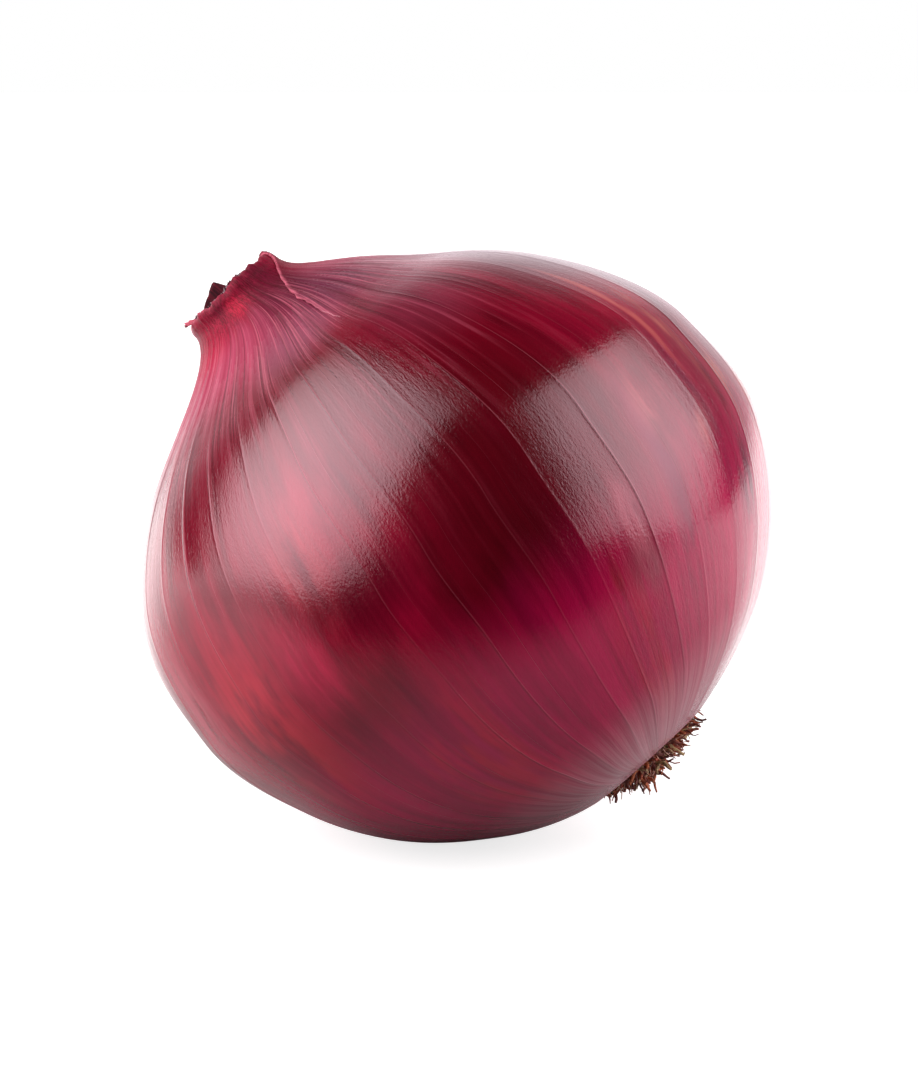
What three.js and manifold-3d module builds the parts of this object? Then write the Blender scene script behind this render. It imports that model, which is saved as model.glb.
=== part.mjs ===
// A whole red onion, lying on its belly with the neck up to the left and the roots down to the right.
// Units are millimetres. The surface it lies on is z = 0, and the origin is on it, under the bulb's centre.
import * as THREE from "three";
import { mergeVertices } from "three/addons/utils/BufferGeometryUtils.js";
import Module from "manifold-3d";

const wasm = await Module();
wasm.setup();

// How the onion lies. Its axis leans to the left, and the leaning plane is tipped back.
const AXIS_LEAN = THREE.MathUtils.degToRad(42);
const PLANE_TIP = THREE.MathUtils.degToRad(15);
const CENTRE_HEIGHT = 35.4;

// The bulb in its own frame: the axis is Z, roots down and neck up, and the widest ring is at height 0.
const BELLY_RADIUS = 38.95;
const ROOT_END = 35.4;
const NECK_END = 34.5;
const LIP_RADIUS = 10.6;
const SHOULDER_HEIGHT = 27;
const SHOULDER_REACH = 12.6;
const THROAT = new THREE.Vector2(7.5, 36.3);
const RIM = new THREE.Vector2(6.15, 41.7);
const RIM_WALL = 0.9;
const RECESS_FLOOR = 37.0;
const RECESS_RADIUS = 4.6;
const DIMPLE_RADIUS = 7.6;
const DIMPLE_FLOOR = -33.1;
const BELLY_ROWS = 25;
const NECK_ROWS = 11;

// The bulb grew a little lopsided: its centre line sways to one side, [height, sway].
const SWAY = [
  [-36, 0.2],
  [-28, 1.6],
  [-12, 1.6],
  [2, 0.4],
  [20, -1.3],
  [27, -1.3],
  [36, 0.8],
  [42, 0.1],
];

// Raised veins run from root to neck, with a slight twist and flatter strips of skin between them.
const VEINS = 30;
const VEIN_HEIGHT = 0.34;
const VEIN_HALF_WIDTH = 0.9;
const STRIP_CROWN = 0.1;
const VEIN_JITTER = 0.22;
const TWIST_PER_MM = THREE.MathUtils.degToRad(-0.32);
const PLEAT_DEPTH = 0.42;

// The outermost skin is torn back round part of the neck. Its edge is [height, longitude in degrees].
const SKIN_STEP = 0.5;
const TEAR = [
  [29, -66],
  [34, -68],
  [37.3, -56],
  [40.4, -12],
];
const TEAR_BACK = 160;
const RIM_TEAR = 0.34;

// The corky root plate and the dry roots that grow from it.
const PLATE_RADIUS = 7.2;
const PLATE_TOP = -33.45;
const PLATE_CROWN = 1.7;
const GAP = 0.35;
const ROOTS = 76;
const ROOT_LENGTH = [1.7, 3.5];
const ROOT_RADIUS = [0.34, 0.62];
const ROOT_SIDES = 5;

// The dried leaf ends inside the neck, nested one in the other.
const PLUG_RADIUS = 4.0;
const PLUG_THICKNESS = 1.1;
const LEAF_WALL = 0.65;
const LEAF_ENDS = [
  { radius: 3.6, middle: 100, spread: 54, top: 43.3, lean: 0.05 },
  { radius: 3.65, middle: 200, spread: 66, top: 42.1, lean: 0.14 },
  { radius: 3.65, middle: -40, spread: 96, top: 41.2, lean: 0.1 },
  { radius: 2.35, middle: 60, spread: 118, top: 41.6, lean: 0.04 },
  { radius: 2.3, middle: -110, spread: 84, top: 40.6, lean: 0.03 },
  { radius: 1.0, middle: 0, spread: 150, top: 41.2, lean: 0.0 },
];

// A repeatable random draw between 0 and 1 for a whole number.
function chance(n) {
  const s = Math.sin(n * 127.1 + 11.7) * 43758.5453;
  return s - Math.floor(s);
}

function smooth(from, to, x) {
  return THREE.MathUtils.smoothstep(x, from, to);
}

// The value at x of a smooth line through [x, value] pairs.
function through(pairs, x) {
  if (x <= pairs[0][0]) return pairs[0][1];
  for (let i = 1; i < pairs.length; i++) {
    const [x0, y0] = pairs[i - 1];
    const [x1, y1] = pairs[i];
    if (x <= x1) return y0 + (y1 - y0) * smooth(x0, x1, x);
  }
  return pairs[pairs.length - 1][1];
}

// A closed geometry from vertices and triangles.
function meshOf(points, triangles) {
  const geometry = new THREE.BufferGeometry();
  geometry.setAttribute(
    "position",
    new THREE.Float32BufferAttribute(points.flatMap((p) => [p.x, p.y, p.z]), 3),
  );
  geometry.setIndex(triangles);
  return geometry;
}

// A closed body through rings of points, all turning the same way, with a flat fan at each end.
function loft(rings) {
  const sides = rings[0].length;
  const points = rings.flat();
  const triangles = [];
  for (let r = 0; r + 1 < rings.length; r++) {
    for (let i = 0; i < sides; i++) {
      const a = r * sides + i;
      const b = r * sides + ((i + 1) % sides);
      triangles.push(a, b, b + sides, a, b + sides, a + sides);
    }
  }
  for (const [ring, start] of [
    [rings[0], 0],
    [rings[rings.length - 1], points.length - sides],
  ]) {
    const middle = new THREE.Vector3();
    ring.forEach((p) => middle.addScaledVector(p, 1 / sides));
    const hub = points.push(middle) - 1;
    for (let i = 0; i < sides; i++) {
      const a = start + i;
      const b = start + ((i + 1) % sides);
      triangles.push(...(start === 0 ? [hub, b, a] : [hub, a, b]));
    }
  }
  return meshOf(points, triangles);
}

// A closed body between two grids of points, the front grid facing out.
function slab(front, back) {
  const rows = front.length;
  const columns = front[0].length;
  const points = [...front.flat(), ...back.flat()];
  const behind = rows * columns;
  const at = (r, c) => r * columns + c;
  const triangles = [];
  const quad = (a, b, c, d) => triangles.push(a, b, c, a, c, d);
  for (let r = 0; r + 1 < rows; r++) {
    for (let c = 0; c + 1 < columns; c++) {
      const corners = [at(r, c), at(r, c + 1), at(r + 1, c + 1), at(r + 1, c)];
      quad(...corners);
      quad(...corners.map((k) => k + behind).reverse());
    }
  }
  const border = [];
  for (let c = 0; c + 1 < columns; c++) border.push([at(0, c), at(0, c + 1)]);
  for (let r = 0; r + 1 < rows; r++) {
    border.push([at(r, columns - 1), at(r + 1, columns - 1)]);
  }
  for (let c = columns - 1; c > 0; c--) {
    border.push([at(rows - 1, c), at(rows - 1, c - 1)]);
  }
  for (let r = rows - 1; r > 0; r--) border.push([at(r, 0), at(r - 1, 0)]);
  for (const [a, b] of border) quad(b, a, a + behind, b + behind);
  return meshOf(points, triangles);
}

function solidOf(geometry) {
  const bare = new THREE.BufferGeometry();
  bare.setAttribute("position", geometry.getAttribute("position"));
  bare.setIndex(geometry.getIndex());
  const merged = mergeVertices(bare, 1e-4);
  return new wasm.Manifold(
    new wasm.Mesh({
      numProp: 3,
      vertProperties: new Float32Array(merged.attributes.position.array),
      triVerts: new Uint32Array(merged.index.array),
    }),
  );
}

// Several solids joined as one, keeping only the outside, so that no hollow is sealed in among them.
function joined(solids) {
  const bodies = wasm.Manifold.union(solids).decompose();
  return bodies.reduce((most, body) => (body.volume() > most.volume() ? body : most));
}

function geometryOf(solid) {
  const mesh = solid.getMesh();
  const geometry = new THREE.BufferGeometry();
  geometry.setAttribute("position", new THREE.BufferAttribute(mesh.vertProperties, 3));
  geometry.setIndex(new THREE.BufferAttribute(mesh.triVerts, 1));
  geometry.computeVertexNormals();
  return geometry;
}

// The bulb's outline from the root dimple, over the belly, up the neck and into its recess.
// Each row is a ring of the bulb: skin is how much of the veins it shows, and tear how ragged it is.
function outlineRows() {
  const rows = [
    { radius: DIMPLE_RADIUS - 0.3, height: DIMPLE_FLOOR, skin: 0, tear: 0 },
    { radius: DIMPLE_RADIUS, height: -33.9, skin: 0.1, tear: 0 },
    { radius: (DIMPLE_RADIUS + LIP_RADIUS) / 2, height: -34.5, skin: 0.35, tear: 0 },
  ];
  const first = -Math.acos(LIP_RADIUS / BELLY_RADIUS);
  const last = Math.asin(SHOULDER_HEIGHT / NECK_END);
  for (let i = 0; i <= BELLY_ROWS; i++) {
    const angle = first + ((last - first) * i) / BELLY_ROWS;
    const height = Math.sin(angle) * (angle < 0 ? ROOT_END : NECK_END);
    rows.push({ radius: BELLY_RADIUS * Math.cos(angle), height, skin: 1, tear: 0 });
  }
  const shoulder = new THREE.Vector2(BELLY_RADIUS * Math.cos(last), SHOULDER_HEIGHT);
  const slope = new THREE.Vector2(
    -BELLY_RADIUS * Math.sin(last),
    NECK_END * Math.cos(last),
  ).normalize();
  const neck = new THREE.CubicBezierCurve(
    shoulder,
    shoulder.clone().addScaledVector(slope, SHOULDER_REACH),
    THROAT,
    RIM,
  );
  for (const [i, p] of neck.getSpacedPoints(NECK_ROWS).entries()) {
    if (i > 0) rows.push({ radius: p.x, height: p.y, skin: 1, tear: i / NECK_ROWS });
  }
  rows.push(
    { radius: RIM.x - RIM_WALL, height: RIM.y - 0.2, skin: 0.6, tear: 1 },
    { radius: RECESS_RADIUS + 0.2, height: RECESS_FLOOR + 1.6, skin: 0, tear: 0 },
    { radius: RECESS_RADIUS, height: RECESS_FLOOR, skin: 0, tear: 0 },
  );
  return rows;
}

// Four columns to a vein: its crest, a foot on each side, and the crown of the strip before the next.
function veinColumns() {
  const columns = [];
  const pitch = (2 * Math.PI) / VEINS;
  const foot = VEIN_HALF_WIDTH / BELLY_RADIUS;
  const crestAt = (k) => (k + VEIN_JITTER * (chance(k % VEINS) - 0.5)) * pitch;
  for (let k = 0; k < VEINS; k++) {
    const crest = crestAt(k);
    const strength = 0.55 + 0.45 * chance(k + 40);
    columns.push({ turn: crest - foot, lift: 0, pleat: 0.1 });
    columns.push({ turn: crest, lift: VEIN_HEIGHT * strength, pleat: 1 });
    columns.push({ turn: crest + foot, lift: 0, pleat: 0.1 });
    columns.push({ turn: (crest + crestAt(k + 1)) / 2, lift: STRIP_CROWN, pleat: -0.8 });
  }
  return columns;
}

// How far the torn outer skin stands over the skin beneath it, from 0 to SKIN_STEP.
function tornSkin(longitude, height) {
  const edge = through(TEAR, height);
  const degrees = THREE.MathUtils.radToDeg(Math.atan2(Math.sin(longitude), Math.cos(longitude)));
  const onIt = smooth(edge - 3, edge + 3, degrees) * (1 - smooth(TEAR_BACK - 12, TEAR_BACK, degrees));
  return SKIN_STEP * onIt * smooth(22, 30, height) * (1 - 0.6 * smooth(39.5, 41, height));
}

// How far the torn rim rises or falls at a longitude.
function rimTear(longitude) {
  return (
    RIM_TEAR * (0.5 * Math.cos(longitude - 0.1) + 0.45 * Math.sin(5 * longitude + 1.2)) +
    RIM_TEAR * 0.5 * Math.sin(13 * longitude + 0.4)
  );
}

function bulbGeometry() {
  const columns = veinColumns();
  const rings = outlineRows().map((row) => {
    const fade = row.skin * smooth(6, 15, row.radius);
    const pleats = row.skin * PLEAT_DEPTH * smooth(29, 35, row.height);
    return columns.map((column) => {
      const longitude = column.turn + TWIST_PER_MM * (NECK_END - row.height);
      const radius =
        row.radius +
        column.lift * fade +
        column.pleat * pleats * 0.5 +
        row.skin * tornSkin(longitude, row.height);
      return new THREE.Vector3(
        radius * Math.cos(longitude) + through(SWAY, row.height),
        radius * Math.sin(longitude),
        row.height + rimTear(longitude) * row.tear ** 3,
      );
    });
  });
  return loft(rings);
}

// The bulb is pressed flat where it lies on the surface.
function restingBulb(toWorld) {
  const depth = 20;
  const ground = new THREE.BoxGeometry(200, 200, depth);
  ground.translate(0, 0, -depth / 2);
  ground.applyMatrix4(toWorld.clone().invert());
  return geometryOf(solidOf(bulbGeometry()).subtract(solidOf(ground)));
}

// One dry root: a crooked stub that tapers away from its foot.
function rootStub(index) {
  const turn = index * Math.PI * (3 - Math.sqrt(5));
  const out = Math.sqrt((index + 0.5) / ROOTS);
  const foot = new THREE.Vector3(Math.cos(turn), Math.sin(turn), 0);
  foot.multiplyScalar(out * (PLATE_RADIUS - 0.8));
  foot.x += through(SWAY, PLATE_TOP);
  foot.z = PLATE_TOP - 0.7 - PLATE_CROWN * (1 - out * out) * 0.6;
  const outward = new THREE.Vector3(Math.cos(turn), Math.sin(turn), 0);
  const heading = new THREE.Vector3(0, 0, -1)
    .addScaledVector(outward, 0.7 * out * out + 0.9 * (chance(index) - 0.45))
    .add(new THREE.Vector3(chance(index + 100) - 0.5, chance(index + 200) - 0.5, 0))
    .normalize();
  const bend = new THREE.Vector3(
    chance(index + 300) - 0.5,
    chance(index + 400) - 0.5,
    chance(index + 500) - 0.5,
  ).multiplyScalar(2.2);
  const length = THREE.MathUtils.lerp(...ROOT_LENGTH, chance(index + 600)) * (1 - 0.25 * out);
  const thick = THREE.MathUtils.lerp(...ROOT_RADIUS, chance(index + 700));
  const steps = [0, 0.4, 0.72, 1];
  const across = new THREE.Vector3().crossVectors(heading, outward).normalize();
  const up = new THREE.Vector3().crossVectors(heading, across);
  const rings = steps.map((share) => {
    const centre = foot
      .clone()
      .addScaledVector(heading, share * length)
      .addScaledVector(bend, share * share);
    const radius = thick * (1 - 0.45 * share);
    return Array.from({ length: ROOT_SIDES }, (_, i) => {
      const a = (2 * Math.PI * i) / ROOT_SIDES;
      return centre
        .clone()
        .addScaledVector(across, radius * Math.cos(a))
        .addScaledVector(up, radius * Math.sin(a));
    });
  });
  return loft(rings);
}

function rootTuft() {
  const sides = 28;
  const levels = [
    [PLATE_RADIUS * 0.5, -PLATE_CROWN - 0.5],
    [PLATE_RADIUS * 0.85, -PLATE_CROWN * 0.62 - 0.5],
    [PLATE_RADIUS, -0.9],
    [PLATE_RADIUS, 0],
  ];
  const plate = levels.map(([radius, drop]) =>
    Array.from({ length: sides }, (_, i) => {
      const a = (2 * Math.PI * i) / sides;
      const ragged = radius * (1 - 0.04 * chance(i + 800));
      return new THREE.Vector3(
        ragged * Math.cos(a) + through(SWAY, PLATE_TOP),
        ragged * Math.sin(a),
        PLATE_TOP + drop,
      );
    }),
  );
  const solids = [solidOf(loft(plate))];
  for (let i = 0; i < ROOTS; i++) solids.push(solidOf(rootStub(i)));
  return geometryOf(joined(solids));
}

// One dried leaf end: a curved wall round the axis, with a torn top.
function leafEnd(leaf, index) {
  const columns = 9;
  const rows = 4;
  const bottom = RECESS_FLOOR + GAP + 0.3;
  const wall = (offset) =>
    Array.from({ length: rows }, (_, r) =>
      Array.from({ length: columns }, (_, c) => {
        const across = c / (columns - 1);
        const turn = THREE.MathUtils.degToRad(leaf.middle + leaf.spread * (across - 0.5));
        const ragged = 0.9 * (chance(index * 20 + c) - 0.5) + 1.4 * (across - 0.5) ** 2;
        const height = bottom + (leaf.top - ragged - bottom) * (r / (rows - 1));
        const radius = leaf.radius + offset + leaf.lean * (height - bottom);
        return new THREE.Vector3(
          radius * Math.cos(turn) + through(SWAY, height),
          radius * Math.sin(turn),
          height,
        );
      }),
    );
  return slab(wall(LEAF_WALL / 2), wall(-LEAF_WALL / 2));
}

function neckLeafEnds() {
  const sides = 24;
  const plug = [0, PLUG_THICKNESS].map((rise) =>
    Array.from({ length: sides }, (_, i) => {
      const a = (2 * Math.PI * i) / sides;
      return new THREE.Vector3(
        PLUG_RADIUS * Math.cos(a) + through(SWAY, RECESS_FLOOR),
        PLUG_RADIUS * Math.sin(a),
        RECESS_FLOOR + GAP + rise,
      );
    }),
  );
  const leaves = LEAF_ENDS.map((leaf, i) => solidOf(leafEnd(leaf, i)));
  return geometryOf(joined([solidOf(loft(plug)), ...leaves]));
}

function piece(name, geometry, color, roughness) {
  const material = new THREE.MeshStandardMaterial({ color, roughness, metalness: 0 });
  const mesh = new THREE.Mesh(geometry, material);
  mesh.name = name;
  return mesh;
}

const onion = new THREE.Group();
onion.position.z = CENTRE_HEIGHT;
onion.rotation.x = -PLANE_TIP;
const leaning = new THREE.Group();
leaning.rotation.y = -AXIS_LEAN;
onion.add(leaning);
onion.updateMatrixWorld(true);

leaning.add(
  piece("bulb", restingBulb(leaning.matrixWorld), 0x6d1024, 0.35),
  piece("neck_leaf_ends", neckLeafEnds(), 0x3a1418, 0.85),
  piece("root_tuft", rootTuft(), 0x6a3420, 0.9),
);

export default onion;
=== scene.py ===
"""A whole red onion on a pale floor: glossy veined bulb, torn dry neck and a tuft of dry roots.

Each piece is shaped in the onion's own frame, in millimetres, with +Z from the roots to the neck,
and is then laid on the floor at z = 0 in metres, as the solids lie.
"""

from __future__ import annotations

import logging
import math
from dataclasses import dataclass, field
from enum import Enum

import bpy
import numpy as np
from mathutils import Matrix, Vector


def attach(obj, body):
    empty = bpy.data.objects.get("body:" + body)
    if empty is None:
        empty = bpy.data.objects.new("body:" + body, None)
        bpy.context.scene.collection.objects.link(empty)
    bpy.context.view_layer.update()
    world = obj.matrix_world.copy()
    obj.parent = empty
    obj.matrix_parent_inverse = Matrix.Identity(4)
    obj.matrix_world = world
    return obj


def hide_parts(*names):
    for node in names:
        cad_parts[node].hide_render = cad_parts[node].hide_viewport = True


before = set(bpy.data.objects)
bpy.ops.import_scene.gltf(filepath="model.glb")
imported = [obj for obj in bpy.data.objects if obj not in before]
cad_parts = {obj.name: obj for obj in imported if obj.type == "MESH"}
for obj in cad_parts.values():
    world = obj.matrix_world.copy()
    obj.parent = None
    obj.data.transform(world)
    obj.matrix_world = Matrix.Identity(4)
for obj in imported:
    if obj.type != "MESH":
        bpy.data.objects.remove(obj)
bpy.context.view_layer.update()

LOG = logging.getLogger("onion")
MM = 0.001
Array = np.ndarray
Colour = tuple[float, float, float]
TURN = 2 * math.pi
HALF = (0.5, 0.5, 0.5)
WHITE = (1.0, 1.0, 1.0)


class Solid(Enum):
    """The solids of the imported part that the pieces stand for."""

    BULB = "bulb"
    LEAF_ENDS = "neck_leaf_ends"
    ROOTS = "root_tuft"


class Slot(Enum):
    """Names of three material slots. Nothing in this script uses them."""

    SKIN = "onion_skin"
    LEAF = "dried_leaf"
    ROOT = "dry_root"


def smooth(low: float, high: float, x: Array | float) -> Array:
    """Rises smoothly from 0 at low to 1 at high.

    Args:
        low: Where the rise starts.
        high: Where it ends.
        x: The values to look up.

    Returns:
        The smooth step of x.
    """
    t = np.clip((np.asarray(x, float) - low) / (high - low), 0.0, 1.0)
    return t * t * (3.0 - 2.0 * t)


def chance(n: Array | float) -> Array:
    """A repeatable random draw between 0 and 1 for each whole number in n."""
    s = np.sin(np.asarray(n, float) * 127.1 + 11.7) * 43758.5453
    return s - np.floor(s)


def wobble(x: Array, seed: float, waves: int = 5) -> Array:
    """A repeatable ragged line: a sum of waves of falling height, between about -1 and 1.

    Args:
        x: Where along the line, in radians of its longest wave.
        seed: Which line.
        waves: How many waves are summed.

    Returns:
        The line's height at each x.
    """
    total = np.zeros_like(np.asarray(x, float))
    for i in range(waves):
        pitch = 1.0 + i * 1.7 + chance(seed + i)
        total += np.sin(np.asarray(x) * pitch + 6.3 * chance(seed * 3 + i)) / (1.0 + 0.8 * i)
    return total / 2.2


# ---------------------------------------------------------------------------
# Node trees
# ---------------------------------------------------------------------------


class Wires:
    """Adds nodes to one node tree and joins them up."""

    def __init__(self, tree: bpy.types.NodeTree) -> None:
        """Keeps the tree that the nodes go into."""
        self.tree = tree

    def feed(self, socket: bpy.types.NodeSocket, value: object) -> None:
        """Links an output to a socket, or sets the socket's own value.

        Args:
            socket: The input to feed.
            value: A node, an output socket or a plain value. A node gives its first output, and a
                colour may have three numbers.
        """
        if isinstance(value, bpy.types.Node):
            value = value.outputs[0]
        if isinstance(value, bpy.types.NodeSocket):
            self.tree.links.new(value, socket)
        elif socket.type == "RGBA" and len(value) == 3:
            socket.default_value = (*value, 1.0)
        else:
            socket.default_value = value

    def node(self, kind: str, feeds: dict | None = None, **settings: object) -> bpy.types.Node:
        """Adds one node.

        Args:
            kind: Blender's name for the node's type.
            feeds: Input name or number to a value or an output socket.
            **settings: Properties of the node itself.

        Returns:
            The new node.
        """
        made = self.tree.nodes.new(kind)
        for key, value in settings.items():
            setattr(made, key, value)
        for key, value in (feeds or {}).items():
            self.feed(made.inputs[key], value)
        return made

    def math(self, operation: str, *values: object, clamp: bool = False) -> bpy.types.NodeSocket:
        """A Math node's result for up to three values."""
        made = self.node("ShaderNodeMath", operation=operation, use_clamp=clamp)
        for socket, value in zip(made.inputs, values):
            self.feed(socket, value)
        return made.outputs[0]

    def chain(self, operation: str, values: tuple) -> bpy.types.NodeSocket:
        """One Math operation run along a row of values."""
        total = values[0]
        for value in values[1:]:
            total = self.math(operation, total, value)
        return total

    def times(self, *values: object) -> bpy.types.NodeSocket:
        """The product of the values."""
        return self.chain("MULTIPLY", values)

    def plus(self, *values: object) -> bpy.types.NodeSocket:
        """The sum of the values."""
        return self.chain("ADD", values)

    def minus(self, *values: object) -> bpy.types.NodeSocket:
        """The first value less the others."""
        return self.chain("SUBTRACT", values)

    def over(self, *values: object) -> bpy.types.NodeSocket:
        """The first value divided by the others."""
        return self.chain("DIVIDE", values)

    def xyz(self, x: object, y: object, z: object) -> bpy.types.NodeSocket:
        """A vector of three values."""
        return self.node("ShaderNodeCombineXYZ", {0: x, 1: y, 2: z}).outputs[0]

    def vector(self, operation: str, *values: object) -> bpy.types.NodeSocket:
        """A Vector Math node's result. For SCALE the second value is the scale."""
        made = self.node("ShaderNodeVectorMath", operation=operation)
        sockets = [made.inputs[0], made.inputs[3]] if operation == "SCALE" else made.inputs
        for socket, value in zip(sockets, values):
            self.feed(socket, value)
        number = operation in ("LENGTH", "DISTANCE", "DOT_PRODUCT")
        return made.outputs["Value" if number else "Vector"]

    def step(
        self, value: object, low: object, high: object, start: float = 0.0, end: float = 1.0
    ) -> bpy.types.NodeSocket:
        """A smooth step.

        Args:
            value: What is looked up.
            low: Where the step starts.
            high: Where it ends.
            start: The result before low.
            end: The result after high.

        Returns:
            The socket with the result.
        """
        made = self.node("ShaderNodeMapRange", interpolation_type="SMOOTHSTEP")
        for socket, given in zip(made.inputs, (value, low, high, start, end)):
            self.feed(socket, given)
        return made.outputs[0]

    def blend(
        self, factor: object, first: object, second: object, how: str = "MIX"
    ) -> bpy.types.NodeSocket:
        """Blends two colours.

        Args:
            factor: 0 for the first colour, 1 for the second.
            first: The colour below.
            second: The colour above.
            how: Blender's name for the blending.

        Returns:
            The socket with the colour.
        """
        made = self.node("ShaderNodeMix", data_type="RGBA", blend_type=how, clamp_factor=True)
        for number, value in ((0, factor), (6, first), (7, second)):
            self.feed(made.inputs[number], value)
        return made.outputs[2]

    def noise(
        self, vector: object, scale: object, detail: float = 2.0, roughness: float = 0.5
    ) -> bpy.types.Node:
        """A Noise Texture node read at a vector."""
        feeds = {"Vector": vector, "Scale": scale, "Detail": detail, "Roughness": roughness}
        return self.node("ShaderNodeTexNoise", feeds)

    def attribute(self, name: str, vector: bool = False) -> bpy.types.NodeSocket:
        """A mesh attribute, read in a shader tree."""
        made = self.node("ShaderNodeAttribute", attribute_name=name)
        return made.outputs["Vector" if vector else "Fac"]

    def group(self, tree: bpy.types.NodeTree, feeds: dict) -> bpy.types.NodeSocket:
        """Places a shader node group, gives it its values and returns its first output."""
        made = self.node("ShaderNodeGroup", node_tree=tree)
        for key, value in feeds.items():
            self.feed(made.inputs[key], value)
        return made.outputs[0]

    def named(self, name: str, kind: str = "FLOAT") -> bpy.types.NodeSocket:
        """A mesh attribute, read in a geometry tree."""
        made = self.node("GeometryNodeInputNamedAttribute", {"Name": name}, data_type=kind)
        return made.outputs[0]

    def place(self) -> bpy.types.NodeSocket:
        """Where a point is, read in a geometry tree."""
        return self.node("GeometryNodeInputPosition").outputs[0]

    def moved(self, geometry: object, offset: object) -> bpy.types.Node:
        """Moves the points of a geometry."""
        return self.node("GeometryNodeSetPosition", {"Geometry": geometry, "Offset": offset})

    def rough(self, scale: float, detail: float, roughness: float, depth: float) -> object:
        """Noise read at each point, as an offset that goes up to half of depth each way."""
        noise = self.noise(self.place(), scale, detail, roughness).outputs["Color"]
        return self.vector("SCALE", self.vector("SUBTRACT", noise, HALF), depth)

    def surface(
        self, shader: bpy.types.Node, colour: object, rough: object, relief: object, depth: float
    ) -> None:
        """Feeds a Principled BSDF.

        Args:
            shader: The node.
            colour: Its base colour.
            rough: Its roughness.
            relief: What raises the bumps.
            depth: How high a relief of 1 stands, in metres.
        """
        self.feed(shader.inputs["Base Color"], colour)
        self.feed(shader.inputs["Roughness"], rough)
        feeds = {"Height": relief, "Distance": depth, "Strength": 1.0}
        self.feed(shader.inputs["Normal"], self.node("ShaderNodeBump", feeds))

    def by_ray(self, light: object, camera: object, output: str) -> None:
        """Shows one shader to the camera and another to the light, and ends the tree there."""
        direct = self.node("ShaderNodeLightPath").outputs["Is Camera Ray"]
        mix = self.node("ShaderNodeMixShader", {0: direct, 1: light, 2: camera})
        self.feed(self.node(output).inputs[0], mix)


def new_group(
    kind: str, name: str, inputs: list[tuple[str, str]], outputs: list[tuple[str, str]]
) -> tuple[bpy.types.NodeTree, Wires, bpy.types.Node, bpy.types.Node]:
    """Starts a node group with named sockets.

    Args:
        kind: ShaderNodeTree or GeometryNodeTree.
        name: The group's name.
        inputs: Name and socket type of each input.
        outputs: Name and socket type of each output.

    Returns:
        The group, its wires, its input node and its output node.
    """
    group = bpy.data.node_groups.new(name, kind)
    for in_out, sockets in (("INPUT", inputs), ("OUTPUT", outputs)):
        for label, socket in sockets:
            group.interface.new_socket(label, in_out=in_out, socket_type=socket)
    wires = Wires(group)
    return group, wires, wires.node("NodeGroupInput"), wires.node("NodeGroupOutput")


FLOAT, VECTOR, INTEGER = "NodeSocketFloat", "NodeSocketVector", "NodeSocketInt"
MATERIAL = "NodeSocketMaterial"
MESH = [("Geometry", "NodeSocketGeometry")]


def of_kind(socket: str, *names: str) -> list[tuple[str, str]]:
    """Sockets of one type, for new_group."""
    return [(name, socket) for name in names]


def shape_with(
    obj: bpy.types.Object, group: bpy.types.NodeTree, values: dict[str, object]
) -> bpy.types.Object:
    """Runs a geometry tree on an object and keeps the result as its plain mesh.

    Args:
        obj: The object that gives the geometry.
        group: The tree.
        values: The tree's inputs by name.

    Returns:
        The same object, with the new mesh and no modifier.
    """
    modifier = obj.modifiers.new(group.name, "NODES")
    modifier.node_group = group
    for item in group.interface.items_tree:
        if item.item_type == "SOCKET" and item.in_out == "INPUT" and item.name in values:
            modifier[item.identifier] = values[item.name]
    bpy.context.view_layer.update()
    graph = bpy.context.evaluated_depsgraph_get()
    made = bpy.data.meshes.new_from_object(
        obj.evaluated_get(graph), preserve_all_data_layers=True, depsgraph=graph
    )
    old = obj.data
    obj.modifiers.remove(modifier)
    obj.data = made
    bpy.data.meshes.remove(old)
    made.name = obj.name
    return obj


# ---------------------------------------------------------------------------
# Meshes
# ---------------------------------------------------------------------------


@dataclass
class MeshParts:
    """Vertices, faces and point attributes that are gathered before they become one mesh."""

    points: list[Array] = field(default_factory=list)
    faces: list[Array] = field(default_factory=list)
    marks: dict[str, list[Array]] = field(default_factory=dict)
    count: int = 0

    def add(self, points: Array, faces: Array, marks: dict[str, Array]) -> None:
        """Adds one part.

        Args:
            points: (n, 3) vertices.
            faces: (m, 4) corners, with the last one -1 for a triangle.
            marks: Attribute name to one value, or one vector, a vertex.
        """
        self.points.append(points)
        self.faces.append(np.where(faces < 0, -1, faces + self.count))
        self.count += len(points)
        for name, values in marks.items():
            self.marks.setdefault(name, []).append(values)

    def object(self, name: str) -> bpy.types.Object:
        """Makes the mesh and its object.

        Args:
            name: The piece's name.

        Returns:
            The linked object.
        """
        mesh = bpy.data.meshes.new(name)
        faces = [[int(v) for v in face if v >= 0] for face in np.concatenate(self.faces)]
        mesh.from_pydata(np.concatenate(self.points).tolist(), [], faces)
        for label, values in self.marks.items():
            data = np.concatenate(values).astype(np.float32)
            kind, key = ("FLOAT_VECTOR", "vector") if data.ndim == 2 else ("FLOAT", "value")
            mesh.attributes.new(label, kind, "POINT").data.foreach_set(key, data.ravel())
        mesh.update()
        obj = bpy.data.objects.new(name, mesh)
        bpy.context.scene.collection.objects.link(obj)
        return obj


def ring_points(rings: list[tuple[float, float, float]], columns: int) -> Array:
    """Points of level rings.

    Args:
        rings: Radius, height and middle of each ring.
        columns: Points in each ring.

    Returns:
        (n, 3) points.
    """
    turn = np.linspace(0, TURN, columns, endpoint=False)
    rows = [
        np.stack([r * np.cos(turn) + middle, r * np.sin(turn), np.full(columns, height)], 1)
        for r, height, middle in rings
    ]
    return np.concatenate(rows)


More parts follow.
